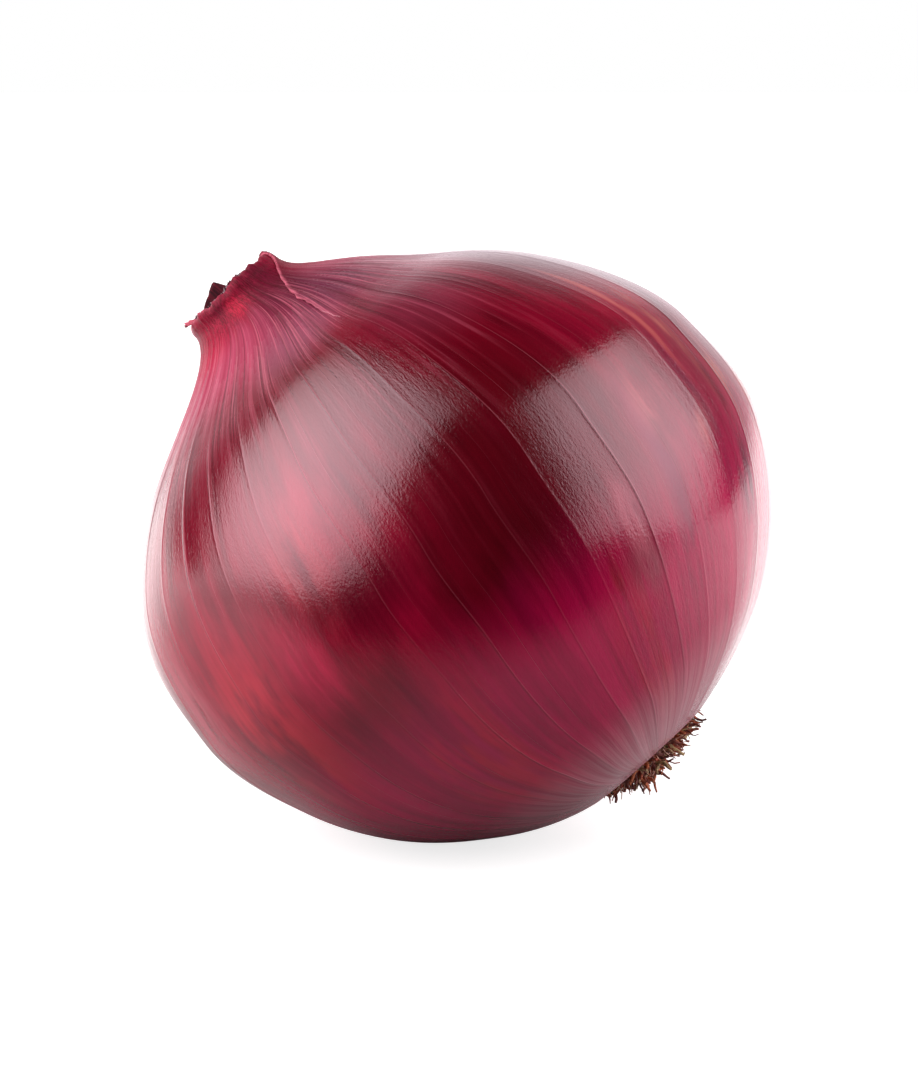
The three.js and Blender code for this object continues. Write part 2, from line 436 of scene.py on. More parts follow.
def tube_faces(rows: int, columns: int) -> Array:
    """Faces of a closed tube of rings, with a fan to one middle point at each end.

    Args:
        rows: How many rings.
        columns: Points in each ring.

    Returns:
        (m, 4) corners. The two middle points come after the rings.
    """
    r, c = np.meshgrid(np.arange(rows - 1), np.arange(columns), indexing="ij")
    a = (r * columns + c).ravel()
    b = (r * columns + (c + 1) % columns).ravel()
    quads = np.stack([a, b, b + columns, a + columns], 1)
    ring = np.arange(columns)
    after = (ring + 1) % columns
    low, high = rows * columns, rows * columns + 1
    top = (rows - 1) * columns
    none = np.full(columns, -1)
    foot = np.stack([np.full(columns, low), after, ring, none], 1)
    head = np.stack([np.full(columns, high), top + ring, top + after, none], 1)
    return np.concatenate([quads, foot, head])


def slab_faces(rows: int, columns: int) -> Array:
    """Faces of a closed slab between a front grid and a back grid of the same size.

    Args:
        rows: Rows of each grid.
        columns: Columns of each grid.

    Returns:
        (m, 4) corners. The back grid's points come after the front's.
    """
    r, c = np.meshgrid(np.arange(rows - 1), np.arange(columns - 1), indexing="ij")
    a = (r * columns + c).ravel()
    front = np.stack([a, a + 1, a + columns + 1, a + columns], 1)
    behind = rows * columns
    back = front[:, ::-1] + behind
    low = np.arange(columns)
    right = np.arange(rows) * columns + columns - 1
    high = np.arange(rows * columns - 1, (rows - 1) * columns - 1, -1)
    left = np.arange(rows - 1, -1, -1) * columns
    loop = np.concatenate([low[:-1], right[:-1], high[:-1], left[:-1]])
    after = np.roll(loop, -1)
    sides = np.stack([after, loop, loop + behind, after + behind], 1)
    return np.concatenate([front, back, sides])


# ---------------------------------------------------------------------------
# The bulb's form
# ---------------------------------------------------------------------------


@dataclass(frozen=True)
class Lie:
    """How the onion lies on the floor."""

    axis_lean: float = math.radians(42)
    plane_tip: float = math.radians(15)
    centre_height: float = 35.4

    def matrix(self) -> Matrix:
        """From the onion's own frame, in millimetres, to the row frame, in metres."""
        turn = Matrix.Rotation(-self.plane_tip, 4, "X") @ Matrix.Rotation(-self.axis_lean, 4, "Y")
        lift = Matrix.Translation((0.0, 0.0, self.centre_height))
        return Matrix.Scale(MM, 4) @ lift @ turn

    def down(self) -> Vector:
        """Straight down, in the onion's own frame."""
        return self.matrix().to_3x3().normalized().inverted() @ Vector((0.0, 0.0, -1.0))

    def lay(self, obj: bpy.types.Object) -> None:
        """Moves a piece's mesh from the onion's own frame to its place on the floor."""
        obj.data.transform(self.matrix())
        obj.data.shade_smooth()
        obj.data.update()


@dataclass
class Outline:
    """The bulb's outline as rows, from the root dimple over the belly into the neck's recess."""

    radius: Array
    height: Array
    across: Array
    along: Array
    relief: Array
    tear: Array

    def __len__(self) -> int:
        """How many rows."""
        return len(self.radius)


@dataclass
class BulbForm:
    """The sizes that the bulb, its torn skin and its leaf ends share, in millimetres."""

    belly_radius: float = 38.95
    root_end: float = 35.4
    neck_end: float = 34.5
    shoulder_height: float = 27.0
    shoulder_reach: float = 12.6
    throat: tuple[float, float] = (6.6, 36.8)
    rim: tuple[float, float] = (6.72, 40.25)
    lip_radius: float = 8.9
    veins: int = 30
    vein_jitter: float = 0.22
    twist: float = math.radians(-0.32)
    rim_tear: float = 0.34
    sway_heights: tuple[float, ...] = (-36, -28, -12, 2, 20, 27, 36, 42)
    sways: tuple[float, ...] = (0.2, 1.6, 1.6, 0.4, -1.3, -1.3, 0.8, 0.1)
    belly_points: int = 1200
    neck_points: int = 400

    def sway(self, height: Array) -> Array:
        """How far the bulb's middle lies to one side at a height."""
        height = np.asarray(height, float)
        total = np.full(height.shape, float(self.sways[0]))
        spans = zip(self.sway_heights, self.sway_heights[1:])
        for (low, high), change in zip(spans, np.diff(self.sways)):
            total = total + change * smooth(low, high, height)
        return total

    def outline_points(self) -> Array:
        """The outline as closely spaced points, (n, 2) of radius and height."""
        first = -math.acos(self.lip_radius / self.belly_radius)
        last = math.asin(self.shoulder_height / self.neck_end)
        angle = np.linspace(first, last, self.belly_points)
        half = np.where(angle < 0, self.root_end, self.neck_end)
        belly = np.stack([self.belly_radius * np.cos(angle), half * np.sin(angle)], 1)
        slope = np.array([-self.belly_radius * math.sin(last), self.neck_end * math.cos(last)])
        slope /= np.linalg.norm(slope)
        hold = [belly[-1], belly[-1] + slope * self.shoulder_reach, self.throat, self.rim]
        t = np.linspace(0, 1, self.neck_points)[1:, None]
        p0, p1, p2, p3 = (np.asarray(p, float) for p in hold)
        neck = p0 * (1 - t) ** 3 + 3 * p1 * t * (1 - t) ** 2 + 3 * p2 * t * t * (1 - t) + p3 * t**3
        lip = belly[0]
        dimple = [(6.9, -32.6), (7.1, -33.3), (7.6, -34.0), (8.2, lip[1] + 0.02)]
        x, y = self.rim
        inward = -0.08, -0.26, -0.5, -0.72, -0.9, -1.3
        upward = 0.3, 0.66, 0.94, 0.98, 0.78, -1.4
        edge = [(x + dx, y + dy) for dx, dy in zip(inward, upward)] + [(4.8, 37.1)]
        return np.concatenate([dimple, belly, neck, edge])

    def outline(self) -> Outline:
        """The outline's rows, closer together at the neck and the root end.

        Returns:
            The rows.
        """
        points = self.outline_points()
        steps = np.linalg.norm(np.diff(points, axis=0), axis=1)
        arc = np.concatenate([[0.0], np.cumsum(steps)])
        height = points[:, 1]
        pitch = 0.56 - 0.26 * smooth(27, 38, height) - 0.28 * (1 - smooth(-34.4, -30, height))
        pitch = np.where(arc > arc[-1] - 6.0, 0.3, pitch)
        density = np.concatenate([[0.0], np.cumsum(steps / ((pitch[1:] + pitch[:-1]) / 2))])
        rows = np.interp(np.linspace(0, density[-1], int(density[-1])), density, arc)
        radius, height = (np.interp(rows, arc, points[:, k]) for k in (0, 1))
        ahead, behind = np.minimum(rows + 0.25, arc[-1]), np.maximum(rows - 0.25, 0.0)
        tangent = [
            np.interp(ahead, arc, points[:, k]) - np.interp(behind, arc, points[:, k])
            for k in (0, 1)
        ]
        length = np.hypot(*tangent)
        top = arc[np.argmax(points[:, 1])]
        relief = smooth(1.0, 6.0, rows) * (1 - smooth(top - 0.2, top + 1.5, rows))
        tear = smooth(top - 4.5, top, rows) * (1 - smooth(top + 0.5, top + 3.0, rows))
        return Outline(radius, height, tangent[1] / length, -tangent[0] / length, relief, tear)

    def vein_phases(self) -> Array:
        """Where each vein starts, as an angle round the axis at the shoulder."""
        k = np.arange(self.veins)
        return (k + self.vein_jitter * (chance(k) - 0.5)) * TURN / self.veins

    def rim_rise(self, turn: Array) -> Array:
        """How far the ragged rim of the neck rises at an angle round the axis."""
        coarse = 0.8 * np.cos(turn - 0.1) + 0.45 * np.sin(5 * turn + 1.2)
        fine = 0.4 * np.sin(13 * turn + 0.4) + 0.25 * np.sin(29 * turn + 2.0)
        return self.rim_tear * (coarse + fine)

    def skin(self, phase: Array, rows: Outline, lift: Array | float = 0.0) -> dict[str, Array]:
        """Points of the skin, and what the relief and the finishes read there.

        Args:
            phase: (rows, columns) angles round the axis, as at the shoulder, before the twist.
            rows: The outline's rows.
            lift: How far each point stands off the outline.

        Returns:
            Name to (rows * columns) values: co, outward, flow, vein_gap, vein_force, swell,
            relief, pleat, collar and hem.
        """
        height = np.broadcast_to(rows.height[:, None], phase.shape)
        radius = np.broadcast_to(rows.radius[:, None], phase.shape)
        turn = phase + self.twist * (self.neck_end - height)
        cos, sin = np.cos(turn), np.sin(turn)
        across, along = rows.across[:, None], rows.along[:, None]
        outward = np.stack([cos * across, sin * across, np.broadcast_to(along, cos.shape)], -1)
        rise = self.rim_rise(turn) * rows.tear[:, None] ** 2
        co = np.stack([radius * cos + self.sway(height), radius * sin, height + rise], -1)
        co = co + outward * np.asarray(lift)[..., None]
        veins = self.vein_phases()
        wrapped = np.mod(phase - veins[0], TURN) + veins[0]
        before = np.clip(np.searchsorted(veins, wrapped, side="right") - 1, 0, self.veins - 1)
        ends = np.append(veins, veins[0] + TURN)
        share = (wrapped - ends[before]) / (ends[before + 1] - ends[before])
        after = (before + 1) % self.veins
        nearest = np.where(share < 0.5, before, after)
        angle = np.where(share < 0.5, wrapped - ends[before], wrapped - ends[before + 1])
        gap = angle * np.sqrt(radius * self.belly_radius)
        come_and_go = 0.5 + 0.5 * np.sin(height / 7.0 + 6.3 * chance(nearest + 70))
        force = (0.35 + 0.65 * chance(nearest + 40)) * (0.35 + 0.65 * come_and_go)
        up = [0.045 * np.sin(height / 15.0 + 6.3 * chance(k + 10)) for k in (before, after)]
        crown = 0.04 * np.sin(height / 19.0 + 6.3 * chance(before + 90)) - 0.02
        swell = up[0] * (1 - share) + up[1] * share + crown * 4 * share * (1 - share)
        around = self.belly_radius
        flow = np.stack([around * np.cos(phase), around * np.sin(phase), height], -1)
        return {
            "co": co.reshape(-1, 3),
            "outward": outward.reshape(-1, 3),
            "flow": flow.reshape(-1, 3),
            "vein_gap": gap.ravel(),
            "vein_force": force.ravel(),
            "swell": (swell * smooth(5, 15, radius)).ravel(),
            "relief": np.repeat(rows.relief, phase.shape[1]),
            "pleat": (smooth(27, 35, height) * rows.relief[:, None]).ravel(),
            "collar": smooth(30, 41.6, height).ravel(),
            "hem": np.clip(1 - (radius - 7.2) / 3.5, 0, 1).ravel() * (height.ravel() < -20),
        }


def relief_tree() -> bpy.types.NodeTree:
    """The tree that raises the veins and folds of the skin and presses the bulb flat on the floor.

    Returns:
        The geometry node group.
    """
    pleats = "Pleat Depth", "Pleat Width", "Pleat Length"
    uneven = "Unevenness", "Unevenness Size"
    drying = [f"Drying Material {k + 1}" for k in range(3)]
    inputs = [
        *MESH,
        *of_kind(FLOAT, "Vein Height", "Vein Width", "Swell", *pleats, *uneven),
        *of_kind(VECTOR, "Down"),
        *of_kind(FLOAT, "Rest Depth", "Seed", "Drying Height", "Drying Step"),
        *of_kind(MATERIAL, "Material", *drying),
    ]
    tree, w, given, result = new_group("GeometryNodeTree", "Skin Relief", inputs, MESH)
    get = given.outputs
    flow = w.named("flow", "FLOAT_VECTOR")
    share = w.over(w.named("vein_gap"), get["Vein Width"])
    ridge = w.math("EXPONENT", w.times(share, share, -1.0))
    ridge = w.times(ridge, w.named("vein_force"), get["Vein Height"])
    swell = w.times(w.named("swell"), get["Swell"])

    seed = w.xyz(get["Seed"], 3.7, get["Seed"])
    per_width = w.over(1.0, get["Pleat Width"])
    per_length = w.over(1.0, get["Pleat Length"])
    pitch = w.xyz(per_width, per_width, per_length)
    folds = w.vector("ADD", w.vector("MULTIPLY", flow, pitch), seed)
    pleat = w.minus(w.noise(folds, 1.0, 2.0, 0.55).outputs[0], 0.5)
    pleat = w.times(pleat, w.times(get["Pleat Depth"], 2.0))
    pleat = w.times(pleat, w.named("pleat"))

    per_size = w.over(1.0, get["Unevenness Size"])
    spot = w.vector("ADD", w.vector("SCALE", w.place(), per_size), seed)
    dent = w.minus(w.noise(spot, 1.0, 1.0, 0.5).outputs[0], 0.5)
    dent = w.times(dent, w.times(get["Unevenness"], 2.0))

    height = w.plus(w.times(w.plus(ridge, swell, dent), w.named("relief")), pleat)
    offset = w.vector("SCALE", w.named("outward", "FLOAT_VECTOR"), height)
    raised = w.moved(get["Geometry"], offset)

    depth = w.vector("DOT_PRODUCT", w.place(), get["Down"])
    over = w.math("MAXIMUM", w.minus(depth, get["Rest Depth"]), 0.0)
    back = w.vector("SCALE", get["Down"], w.times(over, -1.0))
    real = w.node("GeometryNodeRealizeInstances", {"Geometry": w.moved(raised, back)})
    feeds = {"Geometry": real, "Material": get["Material"]}
    dressed = w.node("GeometryNodeSetMaterial", feeds)
    ragged = w.noise(w.vector("MULTIPLY", flow, (0.55, 0.55, 0.05)), 1.0, 3.0, 0.7).outputs[0]
    up = w.node("ShaderNodeSeparateXYZ", {0: flow}).outputs[2]
    up = w.plus(up, w.times(w.minus(ragged, 0.5), 14.0))
    for step, name in enumerate(drying):
        start = w.plus(get["Drying Height"], w.times(get["Drying Step"], float(step)))
        above = w.node("FunctionNodeCompare", {0: up, 1: start}, operation="GREATER_THAN")
        feeds = {"Geometry": dressed, "Selection": above, "Material": get[name]}
        dressed = w.node("GeometryNodeSetMaterial", feeds)
    w.feed(result.inputs[0], dressed)
    return tree


@dataclass(frozen=True)
class SkinFinishes:
    """The skin's finishes: the glossy one of the belly, then drier and drier ones up the neck."""

    glossy: bpy.types.Material
    drying: tuple[bpy.types.Material, ...]


@dataclass
class Bulb:
    """The bulb: one smooth body with raised veins, a pleated neck and a ragged rim."""

    form: BulbForm
    lie: Lie
    relief: bpy.types.NodeTree
    vein_height: float = 0.055
    vein_width: float = 0.18
    swell: float = 1.0
    pleat_depth: float = 0.14
    pleat_width: float = 2.6
    pleat_length: float = 26.0
    unevenness: float = 0.28
    unevenness_size: float = 26.0
    beside_vein: tuple[float, ...] = (0.0, 0.13, 0.28, 0.56, 1.2, 2.4)
    drying_height: float = 29.6
    drying_step: float = 1.8

    def phases(self, rows: Outline) -> Array:
        """Columns that crowd beside the veins on the belly and spread evenly at both ends.

        Args:
            rows: The outline's rows.

        Returns:
            (rows, columns) angles round the axis.
        """
        veins = self.form.vein_phases()
        gap = np.diff(np.append(veins, veins[0] + TURN))
        near = np.array(self.beside_vein) / self.form.belly_radius
        count = 2 * len(near)
        even = np.arange(count) / count
        crowded = np.empty((len(veins), count))
        for k, width in enumerate(gap):
            crowded[k] = np.concatenate([near, [width / 2], width - near[:0:-1]]) / width
        ends = np.maximum(smooth(27, 33, rows.height), 1 - smooth(-33, -29, rows.height))
        share = crowded[None] * (1 - ends[:, None, None]) + even * ends[:, None, None]
        return (veins[None, :, None] + share * gap[None, :, None]).reshape(len(rows), -1)

    def relief_values(self, skins: SkinFinishes) -> dict[str, object]:
        """The relief tree's inputs for this skin."""
        return {
            "Vein Height": self.vein_height,
            "Vein Width": self.vein_width,
            "Swell": self.swell,
            "Pleat Depth": self.pleat_depth,
            "Pleat Width": self.pleat_width,
            "Pleat Length": self.pleat_length,
            "Unevenness": self.unevenness,
            "Unevenness Size": self.unevenness_size,
            "Down": tuple(self.lie.down()),
            "Rest Depth": self.lie.centre_height,
            "Seed": 4.0,
            "Material": skins.glossy,
            "Drying Height": self.drying_height,
            "Drying Step": self.drying_step,
            **{f"Drying Material {k + 1}": skin for k, skin in enumerate(skins.drying)},
        }

    def build(self, skins: SkinFinishes) -> bpy.types.Object:
        """Makes the bulb.

        Args:
            skins: The skin's finishes.

        Returns:
            The piece, in place.
        """
        rows = self.form.outline()
        phase = self.phases(rows)
        marks = self.form.skin(phase, rows)
        for name, values in marks.items():
            ends = [values[: phase.shape[1]].mean(0), values[-phase.shape[1] :].mean(0)]
            marks[name] = np.concatenate([values, np.array(ends)])
        marks["edge"] = np.zeros(len(marks["hem"]))
        parts = MeshParts()
        parts.add(marks.pop("co"), tube_faces(*phase.shape), marks)
        obj = parts.object("bulb_skin")
        shape_with(obj, self.relief, self.relief_values(skins))
        self.lie.lay(obj)
        return obj


@dataclass
class TornSkin:
    """The outermost skin round the back of the neck, torn away along a slanting edge."""

    bulb: Bulb
    edge_heights: tuple[float, ...] = (24.0, 30.0, 34.0, 36.0, 37.5, 38.8, 40.0, 42.2)
    edge_turns: tuple[float, ...] = (-64.0, -66.5, -67.0, -62.0, -52.0, -37.0, -20.0, -2.0)
    far_edge: float = 156.0
    lift: float = 0.3
    thickness: float = 0.16
    foot: float = 25.0
    columns: int = 210

    def build(self, skins: SkinFinishes) -> bpy.types.Object:
        """Makes the torn skin.

        Args:
            skins: The skin's finishes.

        Returns:
            The piece, in place.
        """
        form = self.bulb.form
        rows = form.outline()
        top = int(np.argmax(rows.height)) + 2
        keep = np.flatnonzero((rows.height > self.foot) & (np.arange(len(rows)) < top))
        rows = Outline(*(getattr(rows, n)[keep] for n in Outline.__dataclass_fields__))
        edge = np.interp(rows.height, self.edge_heights, self.edge_turns)
        edge = edge + 0.6 * wobble(rows.height * 1.3, 5.0) + 0.35 * wobble(rows.height * 4.0, 9.0)
        far = self.far_edge + 2.5 * wobble(rows.height * 0.8, 15.0)
        share = np.linspace(0, 1, self.columns) ** 1.15
        turn = np.radians(edge[:, None] + (far - edge)[:, None] * share[None, :])
        phase = turn - form.twist * (form.neck_end - rows.height)[:, None]
        arc = (turn - turn[:, :1]) * rows.radius[:, None]
        back_arc = (turn[:, -1:] - turn) * rows.radius[:, None]
        settle = smooth(0, 2.6, arc) * smooth(0, 3.0, back_arc)
        height = self.lift * (0.62 + 0.38 * (1 - settle))
        fade = smooth(self.foot + 1, self.foot + 9, rows.height)[:, None]
        lift = (height + 0.12) * fade - 0.12
        marks = form.skin(phase, rows, lift)
        under = form.skin(phase, rows, np.minimum(lift - self.thickness, 0.02))
        near = 1 - smooth(0.0, 0.55, np.minimum(arc, back_arc))
        marks["edge"] = (near * smooth(28, 33, rows.height)[:, None]).ravel()
        under["edge"] = marks["edge"]
        both = {name: np.concatenate([marks[name], under[name]]) for name in marks}
        parts = MeshParts()
        parts.add(both.pop("co"), slab_faces(*turn.shape), both)
        obj = parts.object("torn_outer_skin")
        shape_with(obj, self.bulb.relief, self.bulb.relief_values(skins))
        self.bulb.lie.lay(obj)
        return obj


# ---------------------------------------------------------------------------
# Dried leaf ends
# ---------------------------------------------------------------------------


@dataclass(frozen=True)
class LeafEnd:
    """One dried leaf end: a curved sheet round the axis with a torn top. Angles are in degrees."""

    radius: float
    middle: float
    spread: float
    top: float
    lean: float
    curl: float
    bottom: float = 37.3
    crest: tuple[float, ...] = (0.0, 0.0)


@dataclass
class DriedLeafEnds:
    """The dried ends of the inner leaves, which stand up out of the neck."""

    form: BulbForm
    lie: Lie
    thickness: float = 0.2
    rows: int = 16
    columns: int = 26
    disc_columns: int = 40
    disc_rings: tuple[tuple[float, float], ...] = ((4.75, 37.0), (4.75, 38.2), (2.4, 38.7))
    leaves: tuple[LeafEnd, ...] = (
        LeafEnd(3.7, 122, 96, 43.6, 0.04, 0.1, crest=(1.3, 0.1, 0.5, 1.0, 1.4, 1.7, 2.1)),
        LeafEnd(3.3, 92, 50, 41.7, 0.06, 0.2),
        LeafEnd(3.9, 70, 46, 42.2, 0.1, -0.3),
        LeafEnd(3.8, 150, 60, 41.5, 0.12, 0.3),
        LeafEnd(3.9, 200, 60, 41.4, 0.2, 0.4),
        LeafEnd(3.4, 232, 54, 41.3, 0.12, 0.2),
        LeafEnd(3.9, -46, 84, 41.6, 0.14, -0.2),
        LeafEnd(3.0, 20, 110, 41.5, 0.08, 0.1),
        LeafEnd(2.3, 60, 130, 41.9, 0.05, -0.3),
        LeafEnd(2.2, -110, 96, 41.2, 0.05, 0.3),
        LeafEnd(1.2, 0, 150, 41.6, 0.02, 0.2),
        LeafEnd(1.0, 170, 120, 41.0, 0.04, 0.2),
        LeafEnd(5.75, 176, 16, 41.7, 0.2, 0.5, 40.8),
        LeafEnd(5.8, 194, 12, 41.4, 0.3, 0.8, 40.6),
        LeafEnd(5.7, 160, 12, 41.7, 0.2, 0.4, 41.0),
    )

    def sheet(self, leaf: LeafEnd, seed: int, parts: MeshParts) -> None:
        """Adds one leaf end.

        Args:
            leaf: Its sizes.
            seed: Which ragged top it gets.
            parts: Where its mesh goes.
        """
        up, across = np.linspace(0, 1, self.rows), np.linspace(-0.5, 0.5, self.columns)
        up, across = np.meshgrid(up, across, indexing="ij")
        ragged = 0.42 * wobble(across * 9, seed + 0.5) + 0.22 * wobble(across * 31, seed + 2.5)
        ragged = ragged + (2.0 * across) ** 4 * 0.9
        plain = len(leaf.crest) == 2
        crest = np.interp(across, np.linspace(-0.5, 0.5, len(leaf.crest)), leaf.crest)
        ragged = (0.35 if plain else 0.12) * ragged + crest
        height = leaf.bottom + (leaf.top - ragged * up - leaf.bottom) * up
        turn = np.radians(leaf.middle + leaf.spread * across * (1 - 0.25 * up * up))
        radius = leaf.radius + leaf.lean * (height - leaf.bottom) + leaf.curl * up**4
        radius = radius + (0.16 if plain else 0.06) * wobble(across * 14 + up, seed + 4.5) * up
        faces = []
        for offset in (self.thickness / 2, -self.thickness / 2):
            r = radius + offset * (1 - 0.6 * up)
            x = r * np.cos(turn) + self.form.sway(height)
            faces.append(np.stack([x, r * np.sin(turn), height], -1).reshape(-1, 3))
        flow = np.stack([across * leaf.spread * 0.1, np.full_like(up, seed * 7.0), height], -1)
        tone = float(chance(seed + 31)) * 0.6 if plain else 0.5
        if leaf.bottom > 40:
            tone = 1.0
        marks = {
            "flow": np.tile(flow.reshape(-1, 3), (2, 1)),
            "tip": np.tile(up.ravel(), 2),
            "tone": np.full(2 * up.size, tone),
        }
        parts.add(np.concatenate(faces), slab_faces(self.rows, self.columns), marks)

    def floor_disc(self, parts: MeshParts) -> None:
        """Adds the disc where the leaf ends grow together, down in the neck."""
        rings = [(r, h, self.form.sway(h)) for r, h in self.disc_rings]
        ends = [[float(self.form.sway(h)), 0.0, h] for h in (37.0, 38.8)]
        points = np.concatenate([ring_points(rings, self.disc_columns), ends])
        marks = {
            "flow": points.copy(),
            "tip": np.zeros(len(points)),
            "tone": np.full(len(points), 0.1),
        }
        parts.add(points, tube_faces(len(rings), self.disc_columns), marks)

    def build(self, material: bpy.types.Material) -> bpy.types.Object:
        """Makes the leaf ends.

        Args:
            material: Their finish.

        Returns:
            The piece, in place.
        """
        parts = MeshParts()
        self.floor_disc(parts)
        for seed, leaf in enumerate(self.leaves):
            self.sheet(leaf, seed, parts)
        obj = parts.object("dried_leaf_ends")
        obj.data.materials.append(material)
        self.lie.lay(obj)
        return obj


# ---------------------------------------------------------------------------
# Root tuft
# ---------------------------------------------------------------------------


@dataclass
class RootTuft:
    """The corky root plate and the short crooked dry roots that grow from it."""

    form: BulbForm
    lie: Lie
    plate_radius: float = 7.3
    plate_top: float = -33.0
    plate_crown: float = 1.9
    roots: int = 330
    length: tuple[float, float] = (1.3, 3.5)
    thickness: tuple[float, float] = (0.13, 0.46)
    bend: float = 1.3

    def tree(self) -> bpy.types.NodeTree:
        """The tree that roughens the plate and grows the roots on it.

        Returns:
            The geometry node group.
        """
        sizes = "Shortest", "Longest", "Thinnest", "Thickest", "Bend"
        inputs = [
            *MESH,
            *of_kind(INTEGER, "Count", "Seed"),
            *of_kind(VECTOR, "Plate Foot"),
            *of_kind(FLOAT, "Plate Radius", "Crown", *sizes),
            *of_kind(MATERIAL, "Plate Material", "Root Material"),
        ]
        tree, w, given, result = new_group("GeometryNodeTree", "Root Tuft", inputs, MESH)
        get = given.outputs

        def draw(number: int, low: object, high: object) -> bpy.types.NodeSocket:
            """A random number for each root or point."""
            made = w.node("FunctionNodeRandomValue", data_type="FLOAT")
            seed = w.plus(get["Seed"], float(number))
            for index, value in ((2, low), (3, high), (8, seed)):
                w.feed(made.inputs[index], value)
            return made.outputs[1]

        index = w.node("GeometryNodeInputIndex").outputs[0]
        turn = w.times(index, math.pi * (3 - math.sqrt(5)))
        out = w.math("SQRT", w.over(w.plus(index, 0.5), get["Count"]))
        cos, sin = w.math("COSINE", turn), w.math("SINE", turn)
        radius = w.times(out, w.minus(get["Plate Radius"], 0.5))
        drop = w.times(w.minus(1.0, w.times(out, out)), get["Crown"], -1.0)
        spot = w.xyz(w.times(radius, cos), w.times(radius, sin), drop)
        feeds = {"Count": get["Count"], "Position": w.vector("ADD", spot, get["Plate Foot"])}
        points = w.node("GeometryNodePoints", feeds)
        spread = w.plus(w.times(out, out, 1.3), draw(1, -0.5, 0.8))
        ways = (2, cos), (3, sin)
        aside = [w.plus(w.times(way, spread), draw(k, -1.5, 1.5)) for k, way in ways]
        feeds = {"Vector": w.xyz(*aside, -1.0)}
        turned = w.node("FunctionNodeAlignRotationToVector", feeds, axis="Z")
        ends = {"Start": (0, 0, -0.12), "End": (0, 0, 1)}
        line = w.node("GeometryNodeCurvePrimitiveLine", ends)
        fine = w.node("GeometryNodeResampleCurve", {"Curve": line, "Count": 9})
        size = w.minus(1.1, w.times(out, 0.3))
        size = w.times(draw(4, get["Shortest"], get["Longest"]), size)
        feeds = {
            "Points": points,
            "Instance": fine,
            "Rotation": turned,
            "Scale": w.xyz(size, size, size),
        }
        grown = w.node("GeometryNodeInstanceOnPoints", feeds)
        made = w.node("GeometryNodeRealizeInstances", {"Geometry": grown})
        stored = "GeometryNodeStoreNamedAttribute"
        feeds = {"Geometry": made, "Name": "tone", "Value": draw(5, 0.0, 1.0)}
        made = w.node(stored, feeds, data_type="FLOAT", domain="CURVE")
        feeds = {"Geometry": made, "Name": "root", "Value": True}
        marked = w.node(stored, feeds, data_type="BOOLEAN", domain="POINT")
        factor = w.node("GeometryNodeSplineParameter").outputs["Factor"]
        place, tone = w.place(), w.named("tone")
        shift = w.xyz(w.times(tone, 9.0), tone, 0.0)
        sway = w.noise(w.vector("ADD", place, shift), 0.55, 1.5, 0.6).outputs["Color"]
        much = w.times(factor, get["Bend"], 2.0)
        bent = w.moved(marked, w.vector("SCALE", w.vector("SUBTRACT", sway, HALF), much))
        pick = w.math("POWER", w.math("FRACT", w.times(tone, 7.31)), 3.0)
        thick = w.times(w.minus(get["Thickest"], get["Thinnest"]), pick)
        thick = w.plus(get["Thinnest"], thick)
        knots = w.noise(w.vector("SCALE", place, 1.6), 1.0, 2.0).outputs[0]
        taper = w.times(w.minus(1.15, w.times(factor, 0.75)), w.plus(0.45, knots))
        ring = w.node("GeometryNodeCurvePrimitiveCircle", {"Resolution": 6, "Radius": 1.0})
        feeds = {
            "Curve": bent,
            "Profile Curve": ring,
            "Scale": w.times(thick, taper),
            "Fill Caps": True,
        }
        crusty = w.moved(w.node("GeometryNodeCurveToMesh", feeds), w.rough(2.6, 2.0, 0.5, 0.16))
        plate = w.moved(get["Geometry"], w.rough(0.9, 4.0, 0.6, 0.9))
        feeds = {"Geometry": plate, "Material": get["Plate Material"]}
        both = w.node("GeometryNodeJoinGeometry")
        for part in (crusty, w.node("GeometryNodeSetMaterial", feeds)):
            w.feed(both.inputs[0], part)
        whole = w.node("GeometryNodeRealizeInstances", {"Geometry": both})
        feeds = {"Geometry": whole, "Selection": w.named("root", "BOOLEAN")}
        feeds["Material"] = get["Root Material"]
        w.feed(result.inputs[0], w.node("GeometryNodeSetMaterial", feeds))
        return tree

    def plate(self) -> bpy.types.Object:
        """The smooth plate that the tree starts from.

        Returns:
            The object, still in the onion's own frame.
        """
        columns = 72
        share = np.linspace(0.1, 1, 14)
        rings = [(s * self.plate_radius, -self.plate_crown * (1 - s * s) - 0.5) for s in share]
        rings += [(self.plate_radius, 0.4), (self.plate_radius * 0.5, 0.6)]
        middle = float(self.form.sway(self.plate_top))
        rings = [(r, self.plate_top + h, middle) for r, h in rings]
        tips = [[middle, 0.0, self.plate_top + h] for h in (-self.plate_crown - 0.52, 0.6)]
        points = np.concatenate([ring_points(rings, columns), tips])
        parts = MeshParts()
        parts.add(points, tube_faces(len(rings), columns), {"tip": np.zeros(len(points))})
        return parts.object("dry_roots")

    def build(self, plate: bpy.types.Material, root: bpy.types.Material) -> bpy.types.Object:
        """Makes the root tuft.

        Args:
            plate: The corky plate's finish.
            root: The roots' finish.

        Returns:
            The piece, in place.
        """
        obj = self.plate()
        middle = float(self.form.sway(self.plate_top))
        values = {
            "Count": self.roots,
            "Plate Radius": self.plate_radius,
            "Plate Foot": (middle, 0.0, self.plate_top - 0.5),
            "Crown": self.plate_crown,
            "Shortest": self.length[0],
            "Longest": self.length[1],
            "Thinnest": self.thickness[0],
            "Thickest": self.thickness[1],
            "Bend": self.bend,
            "Seed": 11,
            "Plate Material": plate,
            "Root Material": root,
        }
        shape_with(obj, self.tree(), values)
        self.lie.lay(obj)
        return obj


# ---------------------------------------------------------------------------
# Finishes
# ---------------------------------------------------------------------------


